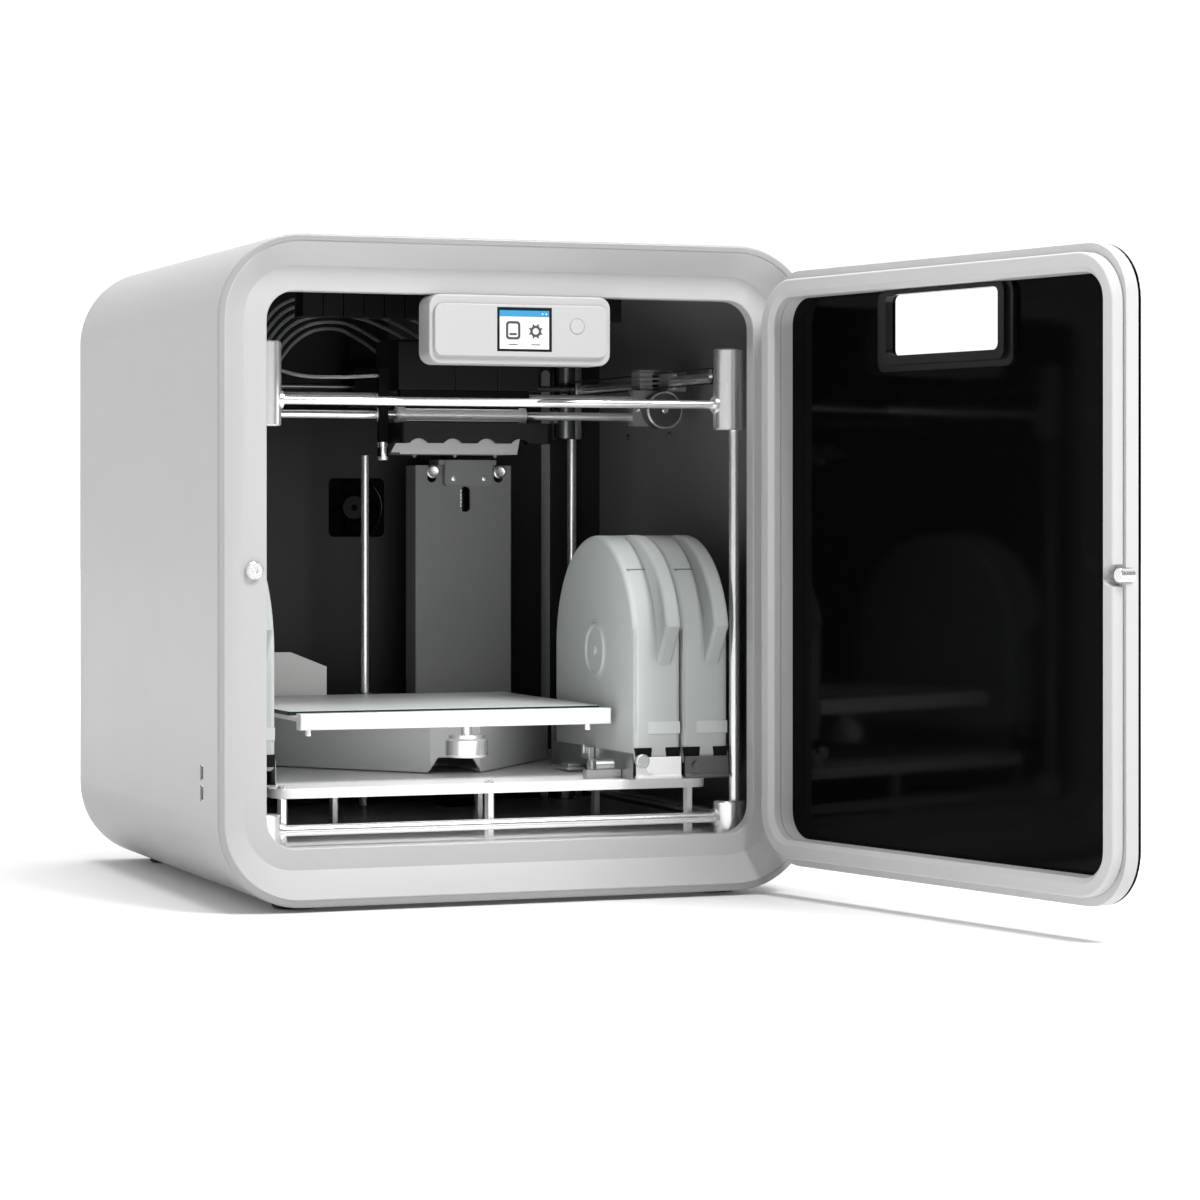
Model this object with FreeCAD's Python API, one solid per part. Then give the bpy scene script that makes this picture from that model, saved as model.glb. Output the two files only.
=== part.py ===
import FreeCAD, Part
import math
import os

V = FreeCAD.Vector
os.makedirs("parts", exist_ok=True)

# An enclosed desktop filament printer, modelled in millimetres.
# Working frame: X to the right, Y back from the front lip, Z up from the cabinet's underside.
# Row frame: the same axes, with the origin on the floor under the cabinet's centre.

# Cabinet
WIDTH, HEIGHT, DEPTH = 570.0, 595.0, 550.0
CORNER_R = 76.5
WALL = 6.0
FOOT_H = 4.0
FIT = 0.15                      # gap between neighbouring covers
HALF_W = WIDTH / 2
IN_X = HALF_W - WALL            # inner face of the shell
IN_LOW, IN_TOP = WALL, HEIGHT - WALL
IN_R = CORNER_R - WALL
MID_Z = HEIGHT / 2
ROW_SHIFT = V(0, -DEPTH / 2, FOOT_H)

# Bezel and its opening
FLAT_X, FLAT_LOW, FLAT_TOP, FLAT_R = 255.0, 31.0, 568.0, 46.5
FLAT_Y = 24.0
OPEN_X, OPEN_LOW, OPEN_TOP, OPEN_R = 234.0, 50.5, 545.5, 26.0
BEZEL_BACK = 39.0

# Chamber
LINER_X, LINER_LOW, LINER_TOP, LINER_R = 272.0, 13.0, 582.0, 63.5
LINER_T = 2.0
PAN_TOP = 48.0
PAN_T = 4.0
BACK_Y, BACK_T = 520.0, 3.0
REAR_Y = 544.0

# Door, drawn closed and then swung open about its hinge axis
HINGE_X, HINGE_Y = 248.0, 3.3
DOOR_OPEN = 102.14              # degrees from closed to the rest pose
DOOR_W, DOOR_H, DOOR_R = 495.0, 544.8, 47.0
INNER_W, INNER_H = 488.5, 529.4
WINDOW_W, WINDOW_H, WINDOW_R = 457.0, 497.0, 25.0
GLASS_FRONT, GLASS_BACK = -5.1, -1.7
RING_SPLIT = 11.3
DOOR_BACK = 23.4
SEAM = 0.7
CUTOUT = (-78.0, 78.0, 487.5, 541.5)
HINGE_ZS = (157.5, 437.5)
HINGE_L = 140.0
PIN_R = 2.0
CATCH_Z = MID_Z
KNOB_X, KNOB_R = -245.5, 6.2
KNOB_FRONT, KNOB_BACK = 4.8, 18.4
SCOOP_X, SCOOP_R = -241.5, 9.0

# Tubular frame
POST_X = 231.0
FIT_X = 230.0
FRONT_Y, BACK_ROD_Y = 62.0, 500.0
UPPER_Z, LOWER_Z = (426.5, 502.5), (48.0, 78.0)
ROD_R, THIN_ROD_R = 5.0, 4.0
UPPER_ROD_Z, LOWER_ROD_Z = 450.0, 63.0
RAIL_X, RAIL_Z = 233.0, 478.0
BORE_GAP = 0.05
RUN_GAP = 0.08

# Belt drives
BELT_X, BELT_W, BELT_T = 222.0, 6.0, 1.2
BELT_Z, PULLEY_R = 478.5, 6.5
IDLER_Y, DRIVE_Y = 92.0, 478.0
SHAFT_R, IDLER_PIN_R = 3.0, 2.0
MOTOR = 42.0

# Gantry and head
GANTRY_Y = 240.0
X_ROD_ZS = (443.0, 460.0)
X_ROD_END = 214.0
X_PULLEY_X, X_PULLEY_Z = 223.0, 449.6
X_BELT_Y = (251.0, 257.0)
X_WHEEL_R = 5.5
HEAD_X0, HEAD_X1 = -46.0, 85.0

# Z drive and bed
SCREW_X, SCREW_Y, SCREW_R = 92.0, 456.0, 4.0
GUIDE_X, GUIDE_Y = -18.0, 432.0
COLUMN = (38.5, 142.5, 440.0, 472.0)
COLUMN_TOP = 397.5
FLOOR_LOW, FLOOR_TOP = 90.5, 99.5
BED = (-182.0, 124.0, 137.0, 417.0)
GLASS_LOW, GLASS_TOP = 162.0, 166.0

# Filament tubes
TUBE_R = 2.0
TUBE_END = 405.0                # height where they meet the guide on the back wall

# Cartridges
CART_Y0, CART_Y1, CART_LOW, CART_TOP = 62.0, 276.0, 114.0, 327.0
CART_XS = {"left": (-252.0, -206.0), "middle": (130.0, 176.5), "right": (178.5, 224.4)}
CART_BACK = {"left": 34.0, "middle": 0.0, "right": 0.0}     # how far each stands behind the front row
HUB_Y, HUB_Z = 169.0, 226.0
RIDGE = (22.5, 38.0)             # the grip's two sides, from the case's left side


def rounded_wire(x0, x1, z0, z1, r, y):
    """A closed rounded rectangle in the plane at depth y."""
    corners = [(x1 - r, z1 - r), (x0 + r, z1 - r), (x0 + r, z0 + r), (x1 - r, z0 + r)]
    arcs = []
    for i, (cx, cz) in enumerate(corners):
        turns = [math.pi / 4 * (2 * i + step) for step in range(3)]
        points = [V(cx + r * math.cos(t), y, cz + r * math.sin(t)) for t in turns]
        arcs.append(Part.Arc(*points).toShape())
    edges = []
    for i, arc in enumerate(arcs):
        after = arcs[(i + 1) % 4]
        edges += [arc, Part.makeLine(arc.Vertexes[-1].Point, after.Vertexes[0].Point)]
    return Part.Wire(edges)


def slab(x0, x1, z0, z1, r, y0, y1):
    """A rounded rectangle seen from the front, from depth y0 to y1."""
    return Part.Face(rounded_wire(x0, x1, z0, z1, r, y0)).extrude(V(0, y1 - y0, 0))


def centred_slab(w, h, r, y0, y1):
    """A slab centred on the cabinet's front."""
    return slab(-w / 2, w / 2, MID_Z - h / 2, MID_Z + h / 2, r, y0, y1)


def box(x0, x1, y0, y1, z0, z1):
    return Part.makeBox(x1 - x0, y1 - y0, z1 - z0, V(x0, y0, z0))


def rod(start, end, r):
    """A cylinder from one point to another."""
    a, b = V(*start), V(*end)
    return Part.makeCylinder(r, (b - a).Length, a, b - a)


def disc(x, y, z0, z1, r):
    return rod((x, y, z0), (x, y, z1), r)


def prism(points, direction):
    """A polygon swept along a direction."""
    vertices = [V(*p) for p in points]
    return Part.Face(Part.makePolygon(vertices + vertices[:1])).extrude(V(*direction))


def turned(profile, base, axis):
    """A solid of revolution: profile is a list of (radius, height along the axis)."""
    points = [V(r, 0, h) for r, h in profile]
    solid = Part.Face(Part.makePolygon(points + points[:1])).revolve(V(), V(0, 0, 1), 360)
    solid.Placement = FreeCAD.Placement(V(*base), FreeCAD.Rotation(V(0, 0, 1), V(*axis)))
    return solid


def soften(shape, radius, chosen):
    """Rounds the edges whose centre passes the test."""
    return shape.makeFillet(radius, [e for e in shape.Edges if chosen(e.CenterOfMass, e)])


def along(edge, axis):
    """True for a straight edge that runs along the named axis."""
    size = edge.BoundBox
    spans = {"x": size.XLength, "y": size.YLength, "z": size.ZLength}
    return spans[axis] > 0.999 * edge.Length


def belt_loop(wheels, width, r_out, r_in):
    """A belt round two equal wheels: wheels are their two centres, width runs from one face to the other."""
    def band(r):
        ends = [rod(c, V(*c) + V(*width), r) for c in wheels]
        first, last = (V(*c) for c in wheels)
        side = V(*width).cross(last - first)
        side.normalize()
        corners = [first - side * r, last - side * r, last + side * r, first + side * r]
        return prism(corners, width).fuse(ends)
    return band(r_out).cut(band(r_in)).removeSplitter()


def piece(name, *shapes):
    """Moves one named piece into the row frame and writes it."""
    shape = shapes[0] if len(shapes) == 1 else Part.makeCompound(list(shapes))
    shape = shape.copy()
    shape.translate(ROW_SHIFT)
    shape.exportStep(f"parts/{name}.step")


def door_piece(name, *shapes):
    """Swings pieces drawn in the closed door to the rest pose, and writes them."""
    opened = []
    for shape in shapes:
        moved = shape.copy()
        moved.rotate(V(HINGE_X, HINGE_Y, 0), V(0, 0, 1), DOOR_OPEN)
        opened.append(moved)
    piece(name, *opened)


# ---------------------------------------------------------------- cabinet

USB_Y, USB_W, USB_H = 56.0, 10.0, 14.0
USB_ZS = (117.5, 99.5)
COVER = (-150.0, 150.0, 125.0, 425.0)


def outer_shell():
    body = slab(-HALF_W, HALF_W, 0, HEIGHT, CORNER_R, 0, DEPTH)
    body = soften(body, 2.2, lambda c, e: c.y < 0.01)
    body = soften(body, 5.0, lambda c, e: c.y > DEPTH - 0.01)
    body = body.cut(slab(-IN_X, IN_X, IN_LOW, IN_TOP, IN_R, -1, DEPTH + 1))
    cuts = [box(COVER[0], COVER[1], COVER[2], COVER[3], -1, WALL + 1)]
    for z in USB_ZS:
        cuts.append(box(-HALF_W - 1, -IN_X + 1, USB_Y - USB_W / 2, USB_Y + USB_W / 2,
                        z - USB_H / 2, z + USB_H / 2))
    piece("outer_shell", body.cut(cuts))


def front_bezel():
    x = IN_X - FIT
    ring = slab(-x, x, IN_LOW + FIT, IN_TOP - FIT, IN_R - FIT, 1, BEZEL_BACK)
    wide = rounded_wire(-x + 1, x - 1, IN_LOW + 1.2, IN_TOP - 1.2, IN_R - 1.2, 0.9)
    narrow = rounded_wire(-FLAT_X, FLAT_X, FLAT_LOW, FLAT_TOP, FLAT_R, FLAT_Y)
    funnel = Part.makeLoft([wide, narrow], True, True)
    opening = slab(-OPEN_X, OPEN_X, OPEN_LOW, OPEN_TOP, OPEN_R, 0, BEZEL_BACK + 1)
    ring = ring.cut(funnel).cut(opening)
    ring = soften(ring, 1.5, lambda c, e: abs(c.y - FLAT_Y) < 0.01 and abs(c.x) < OPEN_X + 0.1
                  and OPEN_LOW - 0.1 < c.z < OPEN_TOP + 0.1)
    piece("front_bezel", ring)


def rear_cover():
    x = IN_X - FIT
    plate = slab(-x, x, IN_LOW + FIT, IN_TOP - FIT, IN_R - FIT, REAR_Y, DEPTH - 1)
    cuts = [rod((FAN_X, REAR_Y - 1, FAN_Z), (FAN_X, DEPTH, FAN_Z), FAN_R + 2)]
    for i in range(12):
        z = 130 + 16 * i
        cuts.append(slab(60, 200, z, z + 6, 2.9, REAR_Y - 1, DEPTH))
    cuts.append(box(*INLET_HOLE))
    cuts.append(box(*SWITCH_HOLE))
    plate = plate.cut(cuts)
    rings = []
    for r in (14.0, 21.0, 28.0):
        tube = rod((FAN_X, REAR_Y + 1, FAN_Z), (FAN_X, DEPTH - 2, FAN_Z), r)
        rings.append(tube.cut(rod((FAN_X, REAR_Y, FAN_Z), (FAN_X, DEPTH, FAN_Z), r - 2.5)))
    rings.append(rod((FAN_X, REAR_Y + 1, FAN_Z), (FAN_X, DEPTH - 2, FAN_Z), 7))
    for i in range(3):
        bar = box(FAN_X - FAN_R - 3, FAN_X + FAN_R + 3, REAR_Y + 1, DEPTH - 2, FAN_Z - 1.5, FAN_Z + 1.5)
        bar.rotate(V(FAN_X, 0, FAN_Z), V(0, 1, 0), 60 * i)
        rings.append(bar)
    axle = rod((FAN_X, REAR_Y - 15, FAN_Z), (FAN_X, REAR_Y + 2, FAN_Z), 2)
    piece("rear_cover", plate.fuse(rings + [axle]).removeSplitter())


def chamber_liner():
    t = LINER_T
    tube = slab(-LINER_X, LINER_X, LINER_LOW, LINER_TOP, LINER_R, BEZEL_BACK + FIT, BACK_Y + BACK_T)
    bore = slab(-LINER_X + t, LINER_X - t, LINER_LOW + t, LINER_TOP - t, LINER_R - t, 0, DEPTH)
    below = box(-LINER_X - 1, LINER_X + 1, 0, DEPTH, 0, PAN_TOP + FIT)
    piece("chamber_liner", tube.cut([bore, below]))


def back_wall():
    inset = LINER_T + FIT
    plate = slab(-LINER_X + inset, LINER_X - inset, LINER_LOW + inset, LINER_TOP - inset,
                 LINER_R - inset, BACK_Y, BACK_Y + BACK_T)
    below = box(-LINER_X, LINER_X, 0, DEPTH, 0, PAN_TOP + FIT)
    window = slab(-30, 30, 324, 385, 6, BACK_Y - 1, BACK_Y + BACK_T + 1)
    cable_slot = slab(204, 215, 130, 500, 5, BACK_Y - 1, BACK_Y + BACK_T + 1)
    guide = box(-168, -122, 442, BACK_Y, TUBE_END - 9, TUBE_END)
    piece("back_wall", plate.cut([below, window, cable_slot]).fuse(guide).removeSplitter())


def base_pan():
    tube = slab(-LINER_X, LINER_X, LINER_LOW, LINER_TOP, LINER_R, BEZEL_BACK + FIT, BACK_Y + BACK_T)
    piece("base_pan", tube.common(box(-LINER_X, LINER_X, 0, DEPTH, PAN_TOP - PAN_T, PAN_TOP)))


def base_cover():
    x0, x1, y0, y1 = COVER
    plate = box(x0 + FIT, x1 - FIT, y0 + FIT, y1 - FIT, 0, WALL - 2)
    slots = []
    for i in range(7):
        y = 160 + 14 * i
        slots.append(box(-110, -30, y, y + 5, -1, WALL))
        slots.append(box(30, 110, y, y + 5, -1, WALL))
    piece("base_cover", plate.cut(slots))


def feet():
    profile = [(0, 0), (19, 0), (21, -1), (21, -2.5), (19.5, -FOOT_H), (0, -FOOT_H)]
    places = [(x, y, 0) for x in (-202, 202) for y in (46, 500)]
    piece("feet", *[turned(profile, p, (0, 0, 1)) for p in places])


def usb_ports():
    ports = []
    for z in USB_ZS:
        y0, y1 = USB_Y - USB_W / 2 + FIT, USB_Y + USB_W / 2 - FIT
        z0, z1 = z - USB_H / 2 + FIT, z + USB_H / 2 - FIT
        sleeve = box(-HALF_W + 0.6, -LINER_X - 0.5, y0, y1, z0, z1)
        mouth = box(-HALF_W, -LINER_X - 2.5, y0 + 1.2, y1 - 1.2, z0 + 1.0, z1 - 1.0)
        tongue = box(-HALF_W + 3, -LINER_X - 2, y0 + 1.2, y0 + 3.2, z0 + 1.8, z1 - 1.8)
        ports.append(sleeve.cut(mouth).fuse(tongue).removeSplitter())
    piece("usb_ports", *ports)


# ---------------------------------------------------------------- control panel

PANEL_X, PANEL_LOW = 87.0, 482.5
PANEL_FRONT, FASCIA_FRONT = 12.0, 8.0
FASCIA = (-83.0, 83.0, 489.5, 537.0)
SCREEN = (-24.0, 28.7, 494.3, 534.4)
BUTTON_X, BUTTON_Z, BUTTON_R = 53.0, 518.0, 7.0


def panel_housing():
    case = slab(-PANEL_X, PANEL_X, PANEL_LOW, OPEN_TOP - FIT, 11, PANEL_FRONT, 42)
    case = soften(case, 1.8, lambda c, e: c.y < PANEL_FRONT + 0.01)
    pocket = slab(-79, 79, 492.5, 534.5, 5, PANEL_FRONT - 1, 40)
    piece("panel_housing", case.cut(pocket))


def panel_fascia():
    x0, x1, z0, z1 = FASCIA
    plate = slab(x0, x1, z0, z1, 8, FASCIA_FRONT, PANEL_FRONT)
    plate = soften(plate, 1.2, lambda c, e: c.y < FASCIA_FRONT + 0.01)
    sx0, sx1, sz0, sz1 = SCREEN
    window = box(sx0, sx1, 0, 20, sz0, sz1)
    hole = rod((BUTTON_X, 0, BUTTON_Z), (BUTTON_X, 20, BUTTON_Z), BUTTON_R + 0.3)
    piece("panel_fascia", plate.cut([window, hole]))


def display():
    x0, x1, z0, z1 = SCREEN
    glass = box(x0 + FIT, x1 - FIT, FASCIA_FRONT + 0.4, 15, z0 + FIT, z1 - FIT)
    board = box(x0 - 30, x1 + 12, 15, 17, z0 - 0.5, z1 - 1)
    chips = [box(-20, -4, 17, 20, 500, 516), box(6, 24, 17, 19, 504, 528), box(-44, -34, 17, 24, 500, 524)]
    piece("display", glass.fuse([board] + chips).removeSplitter())


def power_button():
    profile = [(0, 0), (6.4, 0), (BUTTON_R, 0.6), (BUTTON_R, 7), (0, 7)]
    piece("power_button", turned(profile, (BUTTON_X, FASCIA_FRONT - 0.8, BUTTON_Z), (0, 1, 0)))


# ---------------------------------------------------------------- door

def ring_notches():
    """Room for the hinges in the door's rings, and for the pins' lugs."""
    cuts = []
    for z in HINGE_ZS:
        low, high = z - HINGE_L / 2 - 1, z + HINGE_L / 2 + 1
        cuts.append(box(HINGE_X - 5.5, HINGE_X + 5, GLASS_BACK, DOOR_BACK + 1, low, high))
    return cuts


def door_glass():
    sheet = centred_slab(DOOR_W, DOOR_H, DOOR_R, GLASS_FRONT, GLASS_BACK)
    sheet = soften(sheet, 1.0, lambda c, e: c.y < GLASS_FRONT + 0.01)
    x0, x1, z0, z1 = CUTOUT
    door_piece("door_glass", sheet.cut(slab(x0, x1, z0, z1, 6, GLASS_FRONT - 1, GLASS_BACK + 1)))


def door_outer_ring():
    ring = centred_slab(DOOR_W, DOOR_H, DOOR_R, GLASS_BACK, RING_SPLIT)
    window = centred_slab(WINDOW_W, WINDOW_H, WINDOW_R, GLASS_BACK - 1, RING_SPLIT + 1)
    seat = rod((KNOB_X, KNOB_FRONT - 0.2, CATCH_Z), (KNOB_X, RING_SPLIT + 1, CATCH_Z), KNOB_R + 0.3)
    ring = ring.cut(window).cut(ring_notches() + [seat])
    door_piece("door_outer_ring", ring)


def door_inner_ring():
    front = RING_SPLIT + SEAM
    ring = centred_slab(INNER_W, INNER_H, 44, front, DOOR_BACK)
    ring = soften(ring, 2.0, lambda c, e: c.y > DOOR_BACK - 0.01)
    back = rounded_wire(-WINDOW_W / 2 - 5, WINDOW_W / 2 + 5, MID_Z - WINDOW_H / 2 - 5,
                        MID_Z + WINDOW_H / 2 + 5, WINDOW_R + 5, DOOR_BACK + 0.5)
    mid = rounded_wire(-WINDOW_W / 2, WINDOW_W / 2, MID_Z - WINDOW_H / 2,
                       MID_Z + WINDOW_H / 2, WINDOW_R, DOOR_BACK - 4.5)
    bevel = Part.makeLoft([mid, back], True, True)
    window = centred_slab(WINDOW_W, WINDOW_H, WINDOW_R, front - 1, DOOR_BACK + 1)
    scoop = rod((SCOOP_X, front - 1, CATCH_Z), (SCOOP_X, DOOR_BACK + 1, CATCH_Z), SCOOP_R)
    mouth = box(-DOOR_W, SCOOP_X, front - 1, DOOR_BACK + 1, CATCH_Z - SCOOP_R, CATCH_Z + SCOOP_R)
    ring = ring.cut([window, bevel, scoop, mouth]).cut(ring_notches())
    door_piece("door_inner_ring", ring)


def door_rim():
    x0, x1, z0, z1 = CUTOUT
    collar = slab(-94, 94, 473.5, 545.4, 9, GLASS_BACK, 2.5)
    lip = slab(x0 - 8, x1 + 8, z0 - 8, 545.4, 9, GLASS_BACK, 6.3)
    hole = slab(x0, x1, z0, z1, 6, GLASS_BACK - 1, 10)
    door_piece("door_rim", collar.fuse(lip).cut(hole).removeSplitter())


def door_hardware():
    length = KNOB_BACK - KNOB_FRONT
    knob = turned([(0, 0), (KNOB_R - 1, 0), (KNOB_R, 1), (KNOB_R, length), (0, length)],
                  (KNOB_X, KNOB_BACK, CATCH_Z), (0, -1, 0))
    leaves = []
    for z in HINGE_ZS:
        low, high = z - HINGE_L / 2 + 6, z + HINGE_L / 2 - 6
        barrel = disc(HINGE_X, HINGE_Y, low, high, 3.9)
        leaf = box(HINGE_X - 5.5, HINGE_X, HINGE_Y - 2.5, HINGE_Y + 2.5, low, high)
        pin_hole = disc(HINGE_X, HINGE_Y, low - 1, high + 1, PIN_R + 0.06)
        leaves.append(barrel.fuse(leaf).cut(pin_hole).removeSplitter())
    door_piece("door_hardware", knob, *leaves)


def hinge_pins():
    hinges = []
    for z in HINGE_ZS:
        low, high = z - HINGE_L / 2, z + HINGE_L / 2
        shape = disc(HINGE_X, HINGE_Y, low, high, PIN_R)
        for z0, z1 in ((low, low + 5.5), (high - 5.5, high)):
            shape = shape.fuse(disc(HINGE_X, HINGE_Y, z0, z1, 3.6))
            shape = shape.fuse(box(HINGE_X - 2, HINGE_X + 2, HINGE_Y, FLAT_Y, z0, z1))
        hinges.append(shape.removeSplitter())
    piece("hinge_pins", *hinges)


def door_strike():
    profile = [(0, 0), (5, 0), (5, 1.2), (8, 2), (8, 3.5), (6.5, 5), (2.6, 5), (2.0, 3.8), (0, 3.8)]
    piece("door_strike", turned(profile, (-246, FLAT_Y - 0.02, CATCH_Z), (0, -1, 0)))


# ---------------------------------------------------------------- tubular frame

def upper_fitting(side, y, inward):
    """Holds a post, a cross rod and a Y rail. inward is +1 at the front and -1 at the back."""
    low, high = UPPER_Z
    shape = turned([(0, low), (10.3, low), (11.5, low + 1.2), (11.5, high - 1.2), (10.3, high), (0, high)],
                   (side * FIT_X, y, 0), (0, 0, 1))
    shape = shape.fuse(rod((side * 209.5, y, UPPER_ROD_Z), (side * FIT_X, y, UPPER_ROD_Z), 8))
    wheel_y = IDLER_Y if inward > 0 else DRIVE_Y
    y0, y1 = sorted((y + inward * 8, wheel_y + inward * 5))
    x0, x1 = sorted((side * (BELT_X + 3.6), side * (BELT_X + 5.2)))
    shape = shape.fuse(box(x0, x1, y0, y1, BELT_Z - 6, BELT_Z + 6))
    inner, outer = (side * (BELT_X - 5), wheel_y, BELT_Z), (side * (BELT_X + 5.2), wheel_y, BELT_Z)
    if inward > 0:
        shape = shape.fuse(rod(inner, outer, IDLER_PIN_R))
    else:
        shape = shape.cut(rod(inner, outer, SHAFT_R + RUN_GAP))
    bores = [disc(side * POST_X, y, low - 1, 440, ROD_R + BORE_GAP),
             rod((side * 200, y, UPPER_ROD_Z), (side * 222, y, UPPER_ROD_Z), THIN_ROD_R + BORE_GAP),
             rod((side * RAIL_X, y + inward * 4, RAIL_Z), (side * RAIL_X, y + inward * 40, RAIL_Z),
                 ROD_R + BORE_GAP)]
    return shape.cut(bores).removeSplitter()


def lower_fitting(side, y, inward):
    low, high = LOWER_Z
    shape = turned([(0, low), (12.5, low), (12.5, low + 3), (11.5, low + 4), (11.5, high - 1.2),
                    (10.3, high), (0, high)], (side * FIT_X, y, 0), (0, 0, 1))
    shape = shape.fuse(rod((side * 209.5, y, LOWER_ROD_Z), (side * FIT_X, y, LOWER_ROD_Z), 8))
    bores = [disc(side * POST_X, y, 70, high + 1, ROD_R + BORE_GAP),
             rod((side * 200, y, LOWER_ROD_Z), (side * 222, y, LOWER_ROD_Z), ROD_R + BORE_GAP),
             rod((side * POST_X, y + inward * 5, LOWER_ROD_Z), (side * POST_X, y + inward * 20, LOWER_ROD_Z),
                 THIN_ROD_R + BORE_GAP)]
    return shape.cut(bores).removeSplitter()


def corner_fittings():
    shapes = []
    for side in (-1, 1):
        for y, inward in ((FRONT_Y, 1), (BACK_ROD_Y, -1)):
            shapes += [upper_fitting(side, y, inward), lower_fitting(side, y, inward)]
    piece("corner_fittings", *shapes)


def frame_rods():
    rods = [disc(GUIDE_X, GUIDE_Y, FLOOR_TOP, 407, THIN_ROD_R)]
    for y in (FRONT_Y, BACK_ROD_Y):
        rods.append(rod((-222, y, UPPER_ROD_Z), (222, y, UPPER_ROD_Z), THIN_ROD_R))
        rods.append(rod((-222, y, LOWER_ROD_Z), (222, y, LOWER_ROD_Z), ROD_R))
        rods += [disc(side * POST_X, y, 70, 440, ROD_R) for side in (-1, 1)]
    for side in (-1, 1):
        y0, y1 = FRONT_Y + 4, BACK_ROD_Y - 4
        rods.append(rod((side * RAIL_X, y0, RAIL_Z), (side * RAIL_X, y1, RAIL_Z), ROD_R))
        rods.append(rod((side * POST_X, y0 + 1, LOWER_ROD_Z), (side * POST_X, y1 - 1, LOWER_ROD_Z),
                        THIN_ROD_R))
    piece("frame_rods", *rods)


# ---------------------------------------------------------------- Y drive

def y_belts():
    belts = []
    for x in (-BELT_X - BELT_W / 2, BELT_X - BELT_W / 2):
        belts.append(belt_loop([(x, IDLER_Y, BELT_Z), (x, DRIVE_Y, BELT_Z)], (BELT_W, 0, 0),
                               PULLEY_R + 0.1 + BELT_T, PULLEY_R + 0.1))
    piece("y_belts", *belts)


def pulley(x, y, z, bore):
    """A toothed belt wheel on an axis along X, centred in its belt."""
    half = BELT_W / 2
    wheel = rod((x - half, y, z), (x + half, y, z), PULLEY_R)
    grooves = []
    for i in range(16):
        tooth = box(x - half - 1, x + half + 1, y + PULLEY_R - 0.8, y + PULLEY_R + 1, z - 0.6, z + 0.6)
        tooth.rotate(V(x, y, z), V(1, 0, 0), 22.5 * i)
        grooves.append(tooth)
    wheel = wheel.cut(grooves)
    return wheel.cut(rod((x - 9, y, z), (x + 9, y, z), bore)) if bore else wheel


def y_drive_shaft():
    shaft = rod((-BELT_X - 6, DRIVE_Y, BELT_Z), (BELT_X + 6, DRIVE_Y, BELT_Z), SHAFT_R)
    hubs = [rod((x - 4, DRIVE_Y, BELT_Z), (x + 4, DRIVE_Y, BELT_Z), 5.5) for x in (-BELT_X + 8, BELT_X - 8)]
    wheels = [pulley(side * BELT_X, DRIVE_Y, BELT_Z, 0) for side in (-1, 1)]
    piece("y_drive_shaft", shaft.fuse(hubs + wheels).removeSplitter())


def y_idlers():
    piece("y_idlers", *[pulley(side * BELT_X, IDLER_Y, BELT_Z, IDLER_PIN_R + RUN_GAP) for side in (-1, 1)])


def stepper_motors():
    h = MOTOR / 2
    y_motor = box(-h, h, DRIVE_Y - h, DRIVE_Y + h, BELT_Z - h, BELT_Z + h)
    y_motor = soften(y_motor, 4, lambda c, e: along(e, "x"))
    hanger = box(-h, h, DRIVE_Y - 2, DRIVE_Y + 2, BELT_Z + h - 1, LINER_TOP - LINER_T - FIT)
    y_motor = y_motor.fuse(hanger).cut(rod((-30, DRIVE_Y, BELT_Z), (30, DRIVE_Y, BELT_Z), 3.4))
    z_motor = box(SCREW_X - h, SCREW_X + h, SCREW_Y - h, SCREW_Y + h, PAN_TOP, 86)
    z_motor = soften(z_motor, 4, lambda c, e: along(e, "z"))
    z_motor = z_motor.fuse(disc(SCREW_X, SCREW_Y, 86, 88, 11)).removeSplitter()
    piece("stepper_motors", y_motor.removeSplitter(), z_motor)


# ---------------------------------------------------------------- gantry

def end_block(side):
    """Rides on a Y rail, holds both X rods and clamps the Y belt."""
    def span(a, b):
        return sorted((side * a, side * b))
    bearing = box(*span(227.2, 246), 218, 262, 468, 488)
    holder = box(*span(196, 240), 233, 247, 434, 469)
    clamp = box(*span(205, 228), 238, 260, 466, 489.5)
    block = bearing.fuse([holder, clamp])
    cuts = [rod((side * RAIL_X, 200, RAIL_Z), (side * RAIL_X, 280, RAIL_Z), ROD_R + RUN_GAP),
            box(*span(BELT_X - 4, BELT_X + 4), 200, 280, BELT_Z - PULLEY_R - 2, BELT_Z + PULLEY_R + 2)]
    for z in X_ROD_ZS:
        cuts.append(rod((side * 190, GANTRY_Y, z), (side * 226, GANTRY_Y, z), THIN_ROD_R + BORE_GAP))
    cuts.append(rod((side * X_PULLEY_X, 200, X_PULLEY_Z), (side * X_PULLEY_X, 270, X_PULLEY_Z), 2.6))
    return block.cut(cuts).removeSplitter()


def gantry_blocks():
    piece("gantry_blocks", end_block(-1), end_block(1))


def x_rods():
    piece("x_rods", *[rod((-X_ROD_END, GANTRY_Y, z), (X_ROD_END, GANTRY_Y, z), THIN_ROD_R) for z in X_ROD_ZS])


def x_motor():
    """A flat round motor on the right end block, its shaft through to the belt side."""
    profile = [(0, 0), (16.8, 0), (18.3, 1.5), (18.3, 17.4), (0, 17.4)]
    piece("x_motor", turned(profile, (X_PULLEY_X, 215.5, X_PULLEY_Z), (0, 1, 0)))


def x_wheel(side):
    x, z = side * X_PULLEY_X, X_PULLEY_Z
    y0, y1 = X_BELT_Y
    wheel = rod((x, y0, z), (x, y1, z), X_WHEEL_R)
    flanges = [rod((x, y - 0.5, z), (x, y + 0.5, z), X_WHEEL_R + 1.5) for y in (y0 - 1, y1 + 1)]
    shaft = rod((x, 233.5, z), (x, y1 + 1.5, z), 2.5)
    return wheel.fuse(flanges + [shaft]).removeSplitter()


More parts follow.
